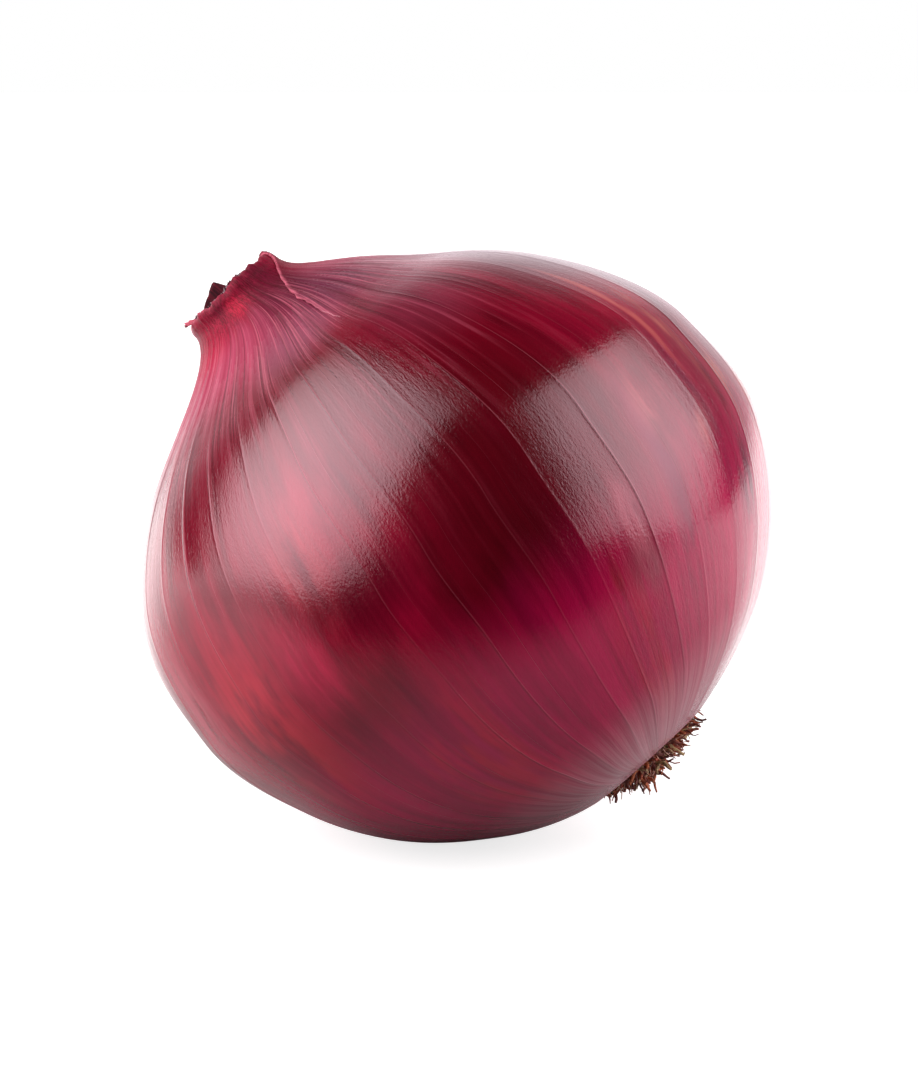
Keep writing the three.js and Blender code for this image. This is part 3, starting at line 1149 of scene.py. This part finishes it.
def streak_group() -> bpy.types.NodeTree:
    """Streaks that run along the veins: noise drawn out along the third axis.

    Returns:
        The shader node group, with inputs Vector, Width, Length and Seed and output Streak.
    """
    group, w, given, result = new_group(
        "ShaderNodeTree",
        "Streaks",
        [("Vector", VECTOR), ("Width", FLOAT), ("Length", FLOAT), ("Seed", FLOAT)],
        [("Streak", FLOAT)],
    )
    get = given.outputs
    wide, long = (w.over(1.0, get[name]) for name in ("Width", "Length"))
    pitch = w.xyz(wide, wide, long)
    seed = w.xyz(get["Seed"], 1.3, get["Seed"])
    place = w.vector("ADD", w.vector("MULTIPLY", get["Vector"], pitch), seed)
    w.feed(result.inputs["Streak"], w.noise(place, 1.0, 3.0, 0.55).outputs[0])
    return group


def spot_group() -> bpy.types.NodeTree:
    """One soft-edged spot on the skin, longer along the veins than across.

    Returns:
        The shader node group, with inputs Vector, Centre, Across and Along and output Spot.
    """
    group, w, given, result = new_group(
        "ShaderNodeTree",
        "Soft Spot",
        [("Vector", VECTOR), ("Centre", VECTOR), ("Across", FLOAT), ("Along", FLOAT)],
        [("Spot", FLOAT)],
    )
    get = given.outputs
    across, along = (w.over(1.0, get[name]) for name in ("Across", "Along"))
    pitch = w.xyz(across, across, along)
    away = w.vector("MULTIPLY", w.vector("SUBTRACT", get["Vector"], get["Centre"]), pitch)
    near = w.step(w.vector("LENGTH", away), 0.15, 1.0, 1.0, 0.0)
    w.feed(result.inputs["Spot"], near)
    return group


@dataclass(frozen=True)
class SkinPatch:
    """A patch of another colour on the skin, by its angle at the shoulder and its height."""

    colour: Colour
    phase: float
    height: float
    across: float
    along: float
    strength: float = 1.0


@dataclass(frozen=True)
class OnionSkin:
    """Glossy dark red onion skin, blotched and streaked along its veins, with painted shade and
    highlights in some of its patches and lines. Sizes in millimetres.
    """

    streaks: bpy.types.NodeTree
    spot: bpy.types.NodeTree
    belly_radius: float
    wine: Colour = (0.085, 0.0006, 0.0045)
    crimson: Colour = (0.24, 0.0022, 0.021)
    raspberry: Colour = (0.45, 0.0040, 0.066)
    dark: Colour = (0.045, 0.0006, 0.003)
    light: Colour = (0.42, 0.07, 0.12)
    # The pale side of each vein: partly its own paler colour, partly painted highlight.
    vein: Colour = (0.36, 0.07, 0.10)
    neck: Colour = (0.32, 0.036, 0.078)
    collar: Colour = (0.25, 0.0050, 0.028)
    # Pale pink of the rim, the torn edge and the neck's hairlines. On the rim's left side it also
    # serves as a painted highlight.
    rim: Colour = (0.60, 0.13, 0.19)
    # Pale dry skin of the root end, brightened into a whitish band that is partly painted
    # highlight.
    hem: Colour = (0.60, 0.32, 0.36)
    gloss_tint: Colour = (1.0, 0.72, 0.80)
    refraction: float = 1.7
    drying: tuple[tuple[float, float], ...] = ((1.52, 0.05), (1.36, 0.11), (1.22, 0.18))
    roughness: float = 0.15
    # Regional colours, mostly the skin's own. The dark patches across the front middle, from -118
    # to -60 degrees, are painted shade, and the bright one at -114 degrees and 0.5 mm is painted
    # light.
    areas: tuple[SkinPatch, ...] = (
        SkinPatch((0.27, 0.003, 0.022), -138, 2, 28, 34, 0.85),
        SkinPatch((0.11, 0.001, 0.009), -118, 26, 26, 11, 0.8),
        SkinPatch((0.07, 0.0004, 0.0035), -82, 24, 20, 12, 0.8),
        SkinPatch((0.068, 0.0004, 0.0035), -60, 8, 27, 27, 1),
        SkinPatch((0.07, 0.0004, 0.004), -72, -3, 15, 14, 0.9),
        SkinPatch((0.055, 0.004, 0.012), -12, 21, 22, 14, 0.9),
        SkinPatch((0.13, 0.016, 0.034), -46, 25, 16, 9, 0.7),
        SkinPatch((0.21, 0.008, 0.034), -24, -14, 19, 24, 0.8),
        SkinPatch((0.08, 0.0004, 0.0065), -97, 2.5, 8, 7, 0.9),
        SkinPatch((0.46, 0.012, 0.052), -114, 0.5, 6, 9, 0.85),
    )
    patches: tuple[SkinPatch, ...] = (
        SkinPatch((0.4, 0.04, 0.05), -106, 11, 6, 12, 0.35),
        # Painted shade: this dark patch darkens the skin under the left highlight.
        SkinPatch((0.15, 0.003, 0.018), -110, 18, 8, 8, 0.7),
        SkinPatch((0.19, 0.033, 0.05), -51, -16, 5, 5, 0.8),
        SkinPatch((0.22, 0.012, 0.045), -39, -20, 4, 6, 0.9),
        SkinPatch((0.42, 0.01, 0.024), -132, -2, 10, 18, 0.75),
        SkinPatch((0.5, 0.01, 0.03), -103, -21, 14, 14, 0.6),
        SkinPatch((0.42, 0.08, 0.11), -153, 4, 9, 17, 0.6),
        SkinPatch((0.45, 0.09, 0.13), -50, -13, 2.6, 9, 0.7),
        SkinPatch((0.42, 0.03, 0.08), -31, -17, 3, 15, 0.7),
        SkinPatch((0.4, 0.01, 0.026), -57, -25, 8, 12, 0.6),
        SkinPatch((0.15, 0.002, 0.03), -38, -10, 2.6, 16, 0.8),
        SkinPatch((0.13, 0.002, 0.026), -14, -17, 5, 8, 1),
        SkinPatch((0.44, 0.08, 0.09), -34, -3, 4.5, 6, 0.45),
        SkinPatch((0.48, 0.1, 0.09), -25, -8, 4, 5, 0.5),
        SkinPatch((0.13, 0.002, 0.025), -22, -8, 2, 18, 0.7),
        SkinPatch((0.5, 0.14, 0.09), -15, 3, 1.6, 12, 0.55),
        SkinPatch((0.5, 0.14, 0.09), -9, -4, 1.8, 12, 0.6),
        SkinPatch((0.5, 0.15, 0.11), 2, -10, 2.4, 13, 0.6),
        SkinPatch((0.12, 0.001, 0.012), -14, -5, 1.2, 14, 0.9),
        SkinPatch((0.12, 0.001, 0.012), -4, -2, 1.6, 16, 0.9),
        SkinPatch((0.42, 0.09, 0.07), -20, 8, 1, 14, 0.6),
        SkinPatch((0.16, 0.02, 0.006), -58, -15, 1.2, 4, 0.5),
        SkinPatch((0.34, 0.012, 0.018), 60, -6, 14, 24, 0.6),
        SkinPatch((0.38, 0.024, 0.06), 110, 4, 12, 22, 0.6),
        SkinPatch((0.34, 0.01, 0.012), 160, -10, 15, 20, 0.6),
    )
    neck_patches: tuple[SkinPatch, ...] = (
        SkinPatch((0.42, 0.06, 0.11), -172, 32, 20, 7, 0.5),
        SkinPatch((0.19, 0.035, 0.07), -78, 31, 22, 4, 0.75),
        SkinPatch((0.17, 0.032, 0.055), -28, 31, 26, 7, 0.85),
        # These three dark patches on the front of the neck are partly its own darker colour, partly
        # painted shade that dims its sheen.
        SkinPatch((0.09, 0.003, 0.018), -68, 34.6, 32, 4.6, 0.6),
        SkinPatch((0.075, 0.002, 0.015), -62, 36.2, 27, 4.5, 1),
        SkinPatch((0.1, 0.01, 0.03), -50, 32.5, 22, 4, 1),
        SkinPatch((0.36, 0.007, 0.036), -140, 37.5, 26, 4.5, 0.9),
        SkinPatch((0.13, 0.002, 0.018), -112, 40, 9, 1.8, 0.8),
        SkinPatch((0.5, 0.008, 0.04), -98, 38.8, 12, 2.2, 0.9),
        SkinPatch((0.11, 0.003, 0.018), -58, 39.5, 24, 4.5, 0.9),
        SkinPatch((0.55, 0.16, 0.22), 178, 40.5, 14, 3.5, 0.9),
        SkinPatch((0.1, 0.03, 0.02), -3, -34, 9, 1.2, 0.9),
    )

    def streak(
        self, w: Wires, flow: bpy.types.NodeSocket, width: float, length: float, seed: float
    ) -> bpy.types.NodeSocket:
        """One set of streaks along the veins, as a value about 0.5."""
        feeds = {"Vector": flow, "Width": width, "Length": length, "Seed": seed}
        return w.group(self.streaks, feeds)

    def patched(
        self,
        w: Wires,
        flow: bpy.types.NodeSocket,
        colour: bpy.types.NodeSocket,
        patches: tuple[SkinPatch, ...],
        cover: bpy.types.NodeSocket,
    ) -> bpy.types.NodeSocket:
        """Lays patches of other colours over the skin's own.

        Args:
            w: The material's wires.
            flow: Where on the skin.
            colour: The colour below.
            patches: The patches.
            cover: What breaks them up: 0 where nothing of them shows.

        Returns:
            The socket with the colour.
        """
        for patch in patches:
            phase = math.radians(patch.phase)
            across = self.belly_radius * math.cos(phase), self.belly_radius * math.sin(phase)
            feeds = {
                "Vector": flow,
                "Centre": (*across, patch.height),
                "Across": patch.across,
                "Along": patch.along,
            }
            mask = w.times(w.group(self.spot, feeds), cover)
            colour = w.blend(w.times(mask, patch.strength), colour, patch.colour)
        return colour

    def build(self) -> SkinFinishes:
        """Makes the finishes: the same colours, with a weaker, softer gloss on the drier ones."""
        drying = [
            self.finish(f"drying_onion_skin_{k + 1}", refraction, rougher)
            for k, (refraction, rougher) in enumerate(self.drying)
        ]
        return SkinFinishes(self.finish("glossy_onion_skin", self.refraction, 0.0), tuple(drying))

    def finish(self, name: str, refraction: float, rougher: float) -> bpy.types.Material:
        """Makes one material.

        Args:
            name: The material's name.
            refraction: How strong the gloss is, as an index of refraction.
            rougher: What is added to the roughness.

        Returns:
            The finished material.
        """
        material, w, shader = new_material(name)
        flow = w.attribute("flow", vector=True)
        collar, hem, edge = (w.attribute(name) for name in ("collar", "hem", "edge"))
        sideways, _, height = w.node("ShaderNodeSeparateXYZ", {0: flow}).outputs

        broad = self.streak(w, flow, 13.0, 40.0, 2.0)
        middle = self.streak(w, flow, 2.6, 26.0, 5.0)
        fine = self.streak(w, flow, 0.8, 20.0, 8.0)
        blotch = self.streak(w, flow, 8.0, 13.0, 15.0)
        mottle = self.streak(w, flow, 3.6, 10.0, 21.0)
        grain = w.noise(w.vector("MULTIPLY", flow, (1.0, 1.0, 0.6)), 3.8, 2.0, 0.6).outputs[0]

        tone = w.plus(w.times(broad, 0.75), w.times(mottle, 0.25))
        colour = w.blend(w.step(tone, 0.36, 0.62), self.wine, self.crimson)
        whole = w.step(mottle, 0.2, 0.55, 0.7, 1.0)
        # Lays the regional colours, among them painted shade across the front middle and painted
        # light at -114 degrees.
        colour = self.patched(w, flow, colour, self.areas, whole)
        # Lighter raspberry towards the root end: partly the skin's own colour, partly painted
        # light, lighter below where more light falls.
        low = w.step(w.plus(height, w.times(mottle, 8.0)), 0.0, -17.0)
        colour = w.blend(w.times(low, 0.9), colour, self.raspberry)
        broken = w.step(mottle, 0.38, 0.6)
        colour = self.patched(w, flow, colour, self.patches, broken)
        upper = w.step(height, 6.0, 27.0, 0.12, 1.0)
        light = w.times(w.step(fine, 0.5, 0.76), w.step(blotch, 0.40, 0.66, 0.0, 0.3))
        colour = w.blend(w.times(light, upper), colour, self.light)
        shade = w.plus(w.times(middle, 0.4), w.times(fine, 0.25))
        shade = w.plus(shade, w.times(mottle, 0.35))
        colour = w.vector("SCALE", colour, w.step(shade, 0.38, 0.6, 0.78, 1.16))

        hairs = self.streak(w, flow, 0.4, 12.0, 27.0)
        papery = w.times(w.step(height, 29.0, 33.5), w.step(middle, 0.3, 0.6, 0.55, 1.0))
        colour = w.blend(papery, colour, self.neck)
        near_rim = w.step(w.plus(height, w.times(mottle, 5.0)), 37.5, 40.5)
        colour = w.blend(near_rim, colour, self.collar)
        nearly = w.step(mottle, 0.25, 0.55, 0.5, 1.0)
        colour = self.patched(w, flow, colour, self.neck_patches, nearly)
        streaky = w.times(w.step(fine, 0.48, 0.36), w.step(height, 26.0, 32.0, 0.0, 0.6))
        colour = w.blend(streaky, colour, self.dark)
        bright = w.times(w.step(hairs, 0.52, 0.64), w.step(height, 25.0, 31.0, 0.0, 0.4))
        bright = w.times(bright, w.step(height, 38.0, 36.0, 0.15, 1.0))
        colour = w.blend(bright, colour, self.rim)
        speck = w.times(w.step(grain, 0.42, 0.6, 0.0, 0.75), w.step(height, 35.0, 38.5))
        colour = w.blend(speck, colour, self.dark)
        gap = w.attribute("vein_gap")
        force = w.attribute("vein_force")
        fade = w.times(force, w.step(height, 34.0, 26.0))
        # Painted shade and highlight along each vein: shade on one side, and on the other a pale
        # line that is partly the vein's own paler colour, partly painted highlight.
        lit = w.times(w.step(gap, -0.02, 0.07), w.step(gap, 0.24, 0.12))
        vein_painted_shade = w.times(w.step(gap, -0.22, -0.1), w.step(gap, 0.03, -0.04))
        lit = w.times(lit, fade)
        colour = w.blend(w.times(vein_painted_shade, fade, 0.7), colour, self.dark)
        colour = w.blend(w.times(lit, 0.5), colour, self.vein)
        # A pale line along the rim, the dry edge's own colour, made much stronger on the left side,
        # towards the left softbox, as a painted highlight.
        rim = w.times(w.step(collar, 0.985, 1.0), w.step(fine, 0.35, 0.6))
        rim = w.times(rim, w.step(sideways, -6.0, -28.0, 0.1, 0.6))
        pale = w.math("MAXIMUM", rim, w.times(edge, w.step(fine, 0.42, 0.6, 0.35, 0.85)))
        colour = w.blend(pale, colour, self.rim)
        # Pale dry skin round the root end: partly its own colour, partly a painted highlight that
        # brightens it to a whitish band.
        low_end = w.times(w.step(height, -26.0, -33.5), w.step(fine, 0.3, 0.6, 0.3, 0.65))
        dry = w.math("MAXIMUM", low_end, w.times(w.step(hem, 0.2, 0.6), 0.85))
        colour = w.blend(dry, colour, self.hem)

        rough = w.plus(self.roughness + rougher, w.times(lit, 0.2))
        rough = w.plus(rough, w.step(height, 25.5, 30.0, 0.0, 0.14))
        rough = w.plus(rough, w.step(fine, 0.3, 0.7, -0.02, 0.04))
        rough = w.math("ADD", rough, w.times(hem, 0.2), clamp=True)
        shader.inputs["IOR"].default_value = refraction
        shader.inputs["Specular Tint"].default_value = (*self.gloss_tint, 1.0)

        crease = self.streak(w, flow, 0.55, 5.0, 33.0)
        relief = w.plus(w.times(fine, 0.25), w.times(grain, 0.42))
        relief = w.plus(relief, w.times(crease, 0.3))
        w.surface(shader, colour, rough, relief, 0.06 * MM)
        return material


def new_material(name: str) -> tuple[bpy.types.Material, Wires, bpy.types.Node]:
    """Starts a material with a Principled BSDF.

    Args:
        name: The material's name.

    Returns:
        The material, its wires and its shader node.
    """
    material = bpy.data.materials.new(name)
    material.use_nodes = True
    tree = material.node_tree
    return material, Wires(tree), next(n for n in tree.nodes if n.type == "BSDF_PRINCIPLED")


@dataclass(frozen=True)
class DriedLeaf:
    """Matt papery dried leaf, dark purple brown with grey and straw at the torn tips."""

    streaks: bpy.types.NodeTree
    dark: Colour = (0.028, 0.002, 0.007)
    brown: Colour = (0.11, 0.010, 0.020)
    grey: Colour = (0.34, 0.24, 0.27)
    red: Colour = (0.46, 0.08, 0.12)

    def build(self) -> bpy.types.Material:
        """Makes the material.

        Returns:
            The finished material.
        """
        material, w, shader = new_material("dried_leaf")
        flow = w.attribute("flow", vector=True)
        tone, tip = w.attribute("tone"), w.attribute("tip")
        feeds = {"Vector": flow, "Width": 0.5, "Length": 3.5, "Seed": 3.0}
        streak = w.group(self.streaks, feeds)
        colour = w.blend(w.step(streak, 0.35, 0.65), self.dark, self.brown)
        colour = w.blend(w.step(tone, 0.6, 0.7), colour, self.red)
        pale = w.times(w.step(tone, 0.4, 0.3), w.step(streak, 0.45, 0.6))
        colour = w.blend(w.times(pale, tip), colour, self.grey)
        shader.inputs["Specular IOR Level"].default_value = 0.15
        w.surface(shader, colour, w.step(streak, 0.3, 0.7, 0.55, 0.85), streak, 0.05 * MM)
        return material


@dataclass(frozen=True)
class DryRoot:
    """Dry root: rust brown, with straw, olive and near-black ones among them."""

    shades: tuple[tuple[float, Colour], ...] = (
        (0.0, (0.09, 0.022, 0.020)),
        (0.18, (0.30, 0.048, 0.030)),
        (0.40, (0.62, 0.16, 0.065)),
        (0.58, (0.38, 0.060, 0.042)),
        (0.72, (0.80, 0.46, 0.36)),
        (0.84, (0.46, 0.32, 0.12)),
        (0.92, (0.20, 0.050, 0.040)),
    )

    def build(self) -> bpy.types.Material:
        """Makes the material.

        Returns:
            The finished material.
        """
        material, w, shader = new_material("dry_root")
        ramp = w.node("ShaderNodeValToRGB", {0: w.attribute("tone")})
        band = ramp.color_ramp
        while len(band.elements) < len(self.shades):
            band.elements.new(0.5)
        for element, (place, shade) in zip(band.elements, self.shades):
            element.position = place
            element.color = (*shade, 1.0)
        place = w.node("ShaderNodeTexCoord").outputs["Object"]
        grain = w.noise(place, 1400.0, 3.0, 0.6).outputs[0]
        patch = w.noise(place, 420.0, 2.0, 0.5).outputs[0]
        colour = w.blend(w.step(grain, 0.35, 0.7, 0.0, 0.6), ramp.outputs[0], (0.015, 0.005, 0.005))
        colour = w.blend(w.step(patch, 0.58, 0.72, 0.0, 0.6), colour, (0.42, 0.25, 0.17))
        w.surface(shader, colour, w.step(grain, 0.3, 0.7, 0.6, 0.85), grain, 0.1 * MM)
        return material


@dataclass(frozen=True)
class CorkyPlate:
    """The root plate: purple brown cork with pale flakes."""

    dark: Colour = (0.045, 0.014, 0.014)
    purple: Colour = (0.16, 0.05, 0.06)
    pale: Colour = (0.42, 0.26, 0.22)

    def build(self) -> bpy.types.Material:
        """Makes the material.

        Returns:
            The finished material.
        """
        material, w, shader = new_material("corky_plate")
        place = w.node("ShaderNodeTexCoord").outputs["Object"]
        lumps = w.noise(place, 520.0, 4.0, 0.6).outputs[0]
        flakes = w.noise(place, 1100.0, 3.0, 0.6).outputs[0]
        colour = w.blend(w.step(lumps, 0.4, 0.62), self.dark, self.purple)
        colour = w.blend(w.step(flakes, 0.6, 0.7, 0.0, 0.8), colour, self.pale)
        w.surface(shader, colour, w.step(lumps, 0.3, 0.7, 0.65, 0.9), lumps, 0.3 * MM)
        return material


# ---------------------------------------------------------------------------
# Studio
# ---------------------------------------------------------------------------


@dataclass(frozen=True)
class Softbox:
    """A large soft light that faces the onion, brightest in its middle.

    The angles are in degrees, seen from the onion, with 0 on the camera's side. A positive roll
    tips the top to the left. half_width and half_height are for a distance of one.
    """

    name: str
    azimuth: float
    elevation: float
    half_width: float
    half_height: float
    middle: float
    edge: float
    distance: float = 0.9
    roll: float = 0.0

    def build(self, centre: Vector) -> bpy.types.Object:
        """Places the light.

        Args:
            centre: The point that it faces.

        Returns:
            The light's object.
        """
        az, el = math.radians(self.azimuth), math.radians(self.elevation)
        way = Vector((math.sin(az) * math.cos(el), -math.cos(az) * math.cos(el), math.sin(el)))
        across = Vector((math.cos(az), math.sin(az), 0.0))
        light = bpy.data.lights.new(self.name, "AREA")
        light.shape = "RECTANGLE"
        light.size = 2 * self.half_width * self.distance
        light.size_y = 2 * self.half_height * self.distance
        light.energy = math.pi * light.size * light.size_y
        light.use_nodes = True
        w = Wires(light.node_tree)
        spot = w.node("ShaderNodeNewGeometry").outputs["Parametric"]
        away = w.vector("LENGTH", w.vector("SUBTRACT", spot, (0.5, 0.5, 0.0)))
        emission = next(n for n in light.node_tree.nodes if n.type == "EMISSION")
        w.feed(emission.inputs["Strength"], w.step(away, 0.05, 0.72, self.middle, self.edge))
        obj = bpy.data.objects.new(self.name, light)
        facing = Matrix((across, way.cross(across), way)).transposed().to_4x4()
        facing = facing @ Matrix.Rotation(math.radians(self.roll), 4, "Z")
        obj.matrix_world = Matrix.Translation(centre + way * self.distance) @ facing
        bpy.context.scene.collection.objects.link(obj)
        return obj


@dataclass(frozen=True)
class Studio:
    """The pale floor, the soft lights, the white surround and the camera."""

    centre: tuple[float, float, float] = (0.0, 0.0, 0.0354)
    elevation: float = math.radians(15)
    lens: float = 180.0
    sensor: float = 36.0
    picture: tuple[int, int] = (918, 1080)
    bulb_pixel: tuple[float, float] = (455.0, 545.0)
    pixel: float = 0.12085 * MM
    floor_half: float = 0.5
    softboxes: tuple[Softbox, ...] = (
        Softbox("left_softbox", -74.0, 32.3, 0.74, 0.85, 5.5, 1.5, roll=20.0),
        Softbox("right_softbox", 83.5, 33.0, 0.62, 0.69, 4.0, 1.8, roll=-20.0),
    )

    def camera(self) -> None:
        """Places the camera where the photograph was taken from."""
        up = Vector((0.0, math.sin(self.elevation), math.cos(self.elevation)))
        back = Vector((0.0, -math.cos(self.elevation), math.sin(self.elevation)))
        right = Vector((1.0, 0.0, 0.0))
        across = (self.picture[0] / 2 - self.bulb_pixel[0]) * self.pixel
        down = (self.bulb_pixel[1] - self.picture[1] / 2) * self.pixel
        target = Vector(self.centre) + right * across + up * down
        distance = self.picture[1] * self.pixel * self.lens / self.sensor
        data = bpy.data.cameras.new("camera")
        data.lens = self.lens
        data.sensor_width = self.sensor
        data.clip_start = 0.01
        obj = bpy.data.objects.new("camera", data)
        obj.matrix_world = Matrix.Translation(target + back * distance) @ Matrix(
            (right, up, back)
        ).transposed().to_4x4()
        bpy.context.scene.collection.objects.link(obj)
        bpy.context.scene.camera = obj

    def floor(self) -> None:
        """Lays the pale floor, partly lit and partly glowing as painted light: to the camera it
        glows evenly, which pales its shadow; to reflections it glows behind the onion, its front is
        dim, as in a dark room, and its sides are paler.
        """
        half = self.floor_half
        parts = MeshParts()
        corners = np.array([[-half, -half, 0], [half, -half, 0], [half, half, 0], [-half, half, 0]])
        parts.add(corners, np.array([[0, 1, 2, 3]]), {})
        obj = parts.object("floor")
        material = bpy.data.materials.new("pale_floor")
        material.use_nodes = True
        tree = material.node_tree
        tree.nodes.clear()
        w = Wires(tree)
        place = w.node("ShaderNodeTexCoord").outputs["Object"]
        side, depth, _ = w.node("ShaderNodeSeparateXYZ", {0: place}).outputs
        away = w.vector("LENGTH", place)
        # Painted light: to reflections the floor's brightness is set by place, dim in front and
        # paler at the sides.
        front = w.step(depth, -0.06, 0.0, 0.23, 0.205)
        front = w.times(w.step(depth, -0.125, -0.06), front)
        turned = w.over(depth, w.plus(away, 0.001))
        lean = w.times(w.over(side, w.plus(away, 0.001)), 0.15)
        aside = w.step(w.minus(turned, lean), -0.75, -0.2)
        sides = w.times(aside, w.step(away, 0.02, 0.14, 0.26, 0.56))
        tint = w.plus(front, sides)
        tint = w.node("ShaderNodeCombineColor", {0: tint, 1: tint, 2: tint}).outputs[0]
        lit = w.node("ShaderNodeBsdfDiffuse", {"Color": tint})
        # Painted light: the floor glows behind the onion in reflections, though it is no lamp.
        far = w.times(w.step(depth, 0.012, 0.06), w.step(turned, 0.35, 0.85, 0.4, 1.35))
        far = w.node("ShaderNodeEmission", {"Color": WHITE, "Strength": far})
        reflected = w.node("ShaderNodeAddShader", {0: lit, 1: far})
        seen = w.node("ShaderNodeBsdfDiffuse", {"Color": (0.55, 0.55, 0.55)})
        # Painted light: an even glow to the camera that pales the floor's shadow.
        lift = w.node("ShaderNodeEmission", {"Color": WHITE, "Strength": 0.75})
        pale = w.node("ShaderNodeAddShader", {0: seen, 1: lift})
        w.by_ray(reflected, pale, "ShaderNodeOutputMaterial")
        obj.data.materials.append(material)

    def surround(self) -> None:
        """White for the camera; for the light, a white backdrop behind the onion in a dark room."""
        world = bpy.data.worlds.new("studio")
        world.use_nodes = True
        tree = world.node_tree
        tree.nodes.clear()
        w = Wires(tree)
        way = w.node("ShaderNodeTexCoord").outputs["Generated"]
        side, depth, up = w.node("ShaderNodeSeparateXYZ", {0: way}).outputs
        behind = w.step(depth, 0.48, 0.98, 0.0, 1.5)
        low = w.times(w.step(up, 0.85, 0.05), w.step(side, 0.05, 0.5, 1.0, 0.6))
        value = w.plus(w.times(behind, low), 0.01)
        room = w.node("ShaderNodeBackground", {"Color": (1.0, 0.91, 0.96), "Strength": value})
        white = w.node("ShaderNodeBackground", {"Color": WHITE, "Strength": 1.0})
        w.by_ray(room, white, "ShaderNodeOutputWorld")
        bpy.context.scene.world = world

    def build(self) -> None:
        """Builds the whole studio."""
        self.camera()
        self.floor()
        self.surround()
        for softbox in self.softboxes:
            softbox.build(Vector(self.centre))
        bpy.context.scene.view_settings.view_transform = "Standard"


def hand_over(obj: bpy.types.Object, solid: Solid | None) -> None:
    """Ties a finished piece to the part and logs it.

    Args:
        obj: The piece, in place.
        solid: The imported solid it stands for, if any.
    """
    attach(obj, "root")
    if solid is not None:
        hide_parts(solid.value)
    size = ", ".join(f"{v * 1000:.1f}" for v in obj.dimensions)
    LOG.info("%s: %d faces, %s mm", obj.name, len(obj.data.polygons), size)


def main() -> None:
    """Builds the studio and each piece of the onion."""
    logging.basicConfig(level=logging.INFO, format="%(name)s: %(message)s")
    Studio().build()
    form, lie = BulbForm(), Lie()
    streaks, spot = streak_group(), spot_group()
    skins = OnionSkin(streaks, spot, form.belly_radius).build()
    bulb = Bulb(form, lie, relief_tree())
    hand_over(bulb.build(skins), Solid.BULB)
    hand_over(TornSkin(bulb).build(skins), None)
    leaf = DriedLeaf(streaks).build()
    hand_over(DriedLeafEnds(form, lie).build(leaf), Solid.LEAF_ENDS)
    tuft = RootTuft(form, lie).build(CorkyPlate().build(), DryRoot().build())
    hand_over(tuft, Solid.ROOTS)


if __name__ == "__main__":
    main()
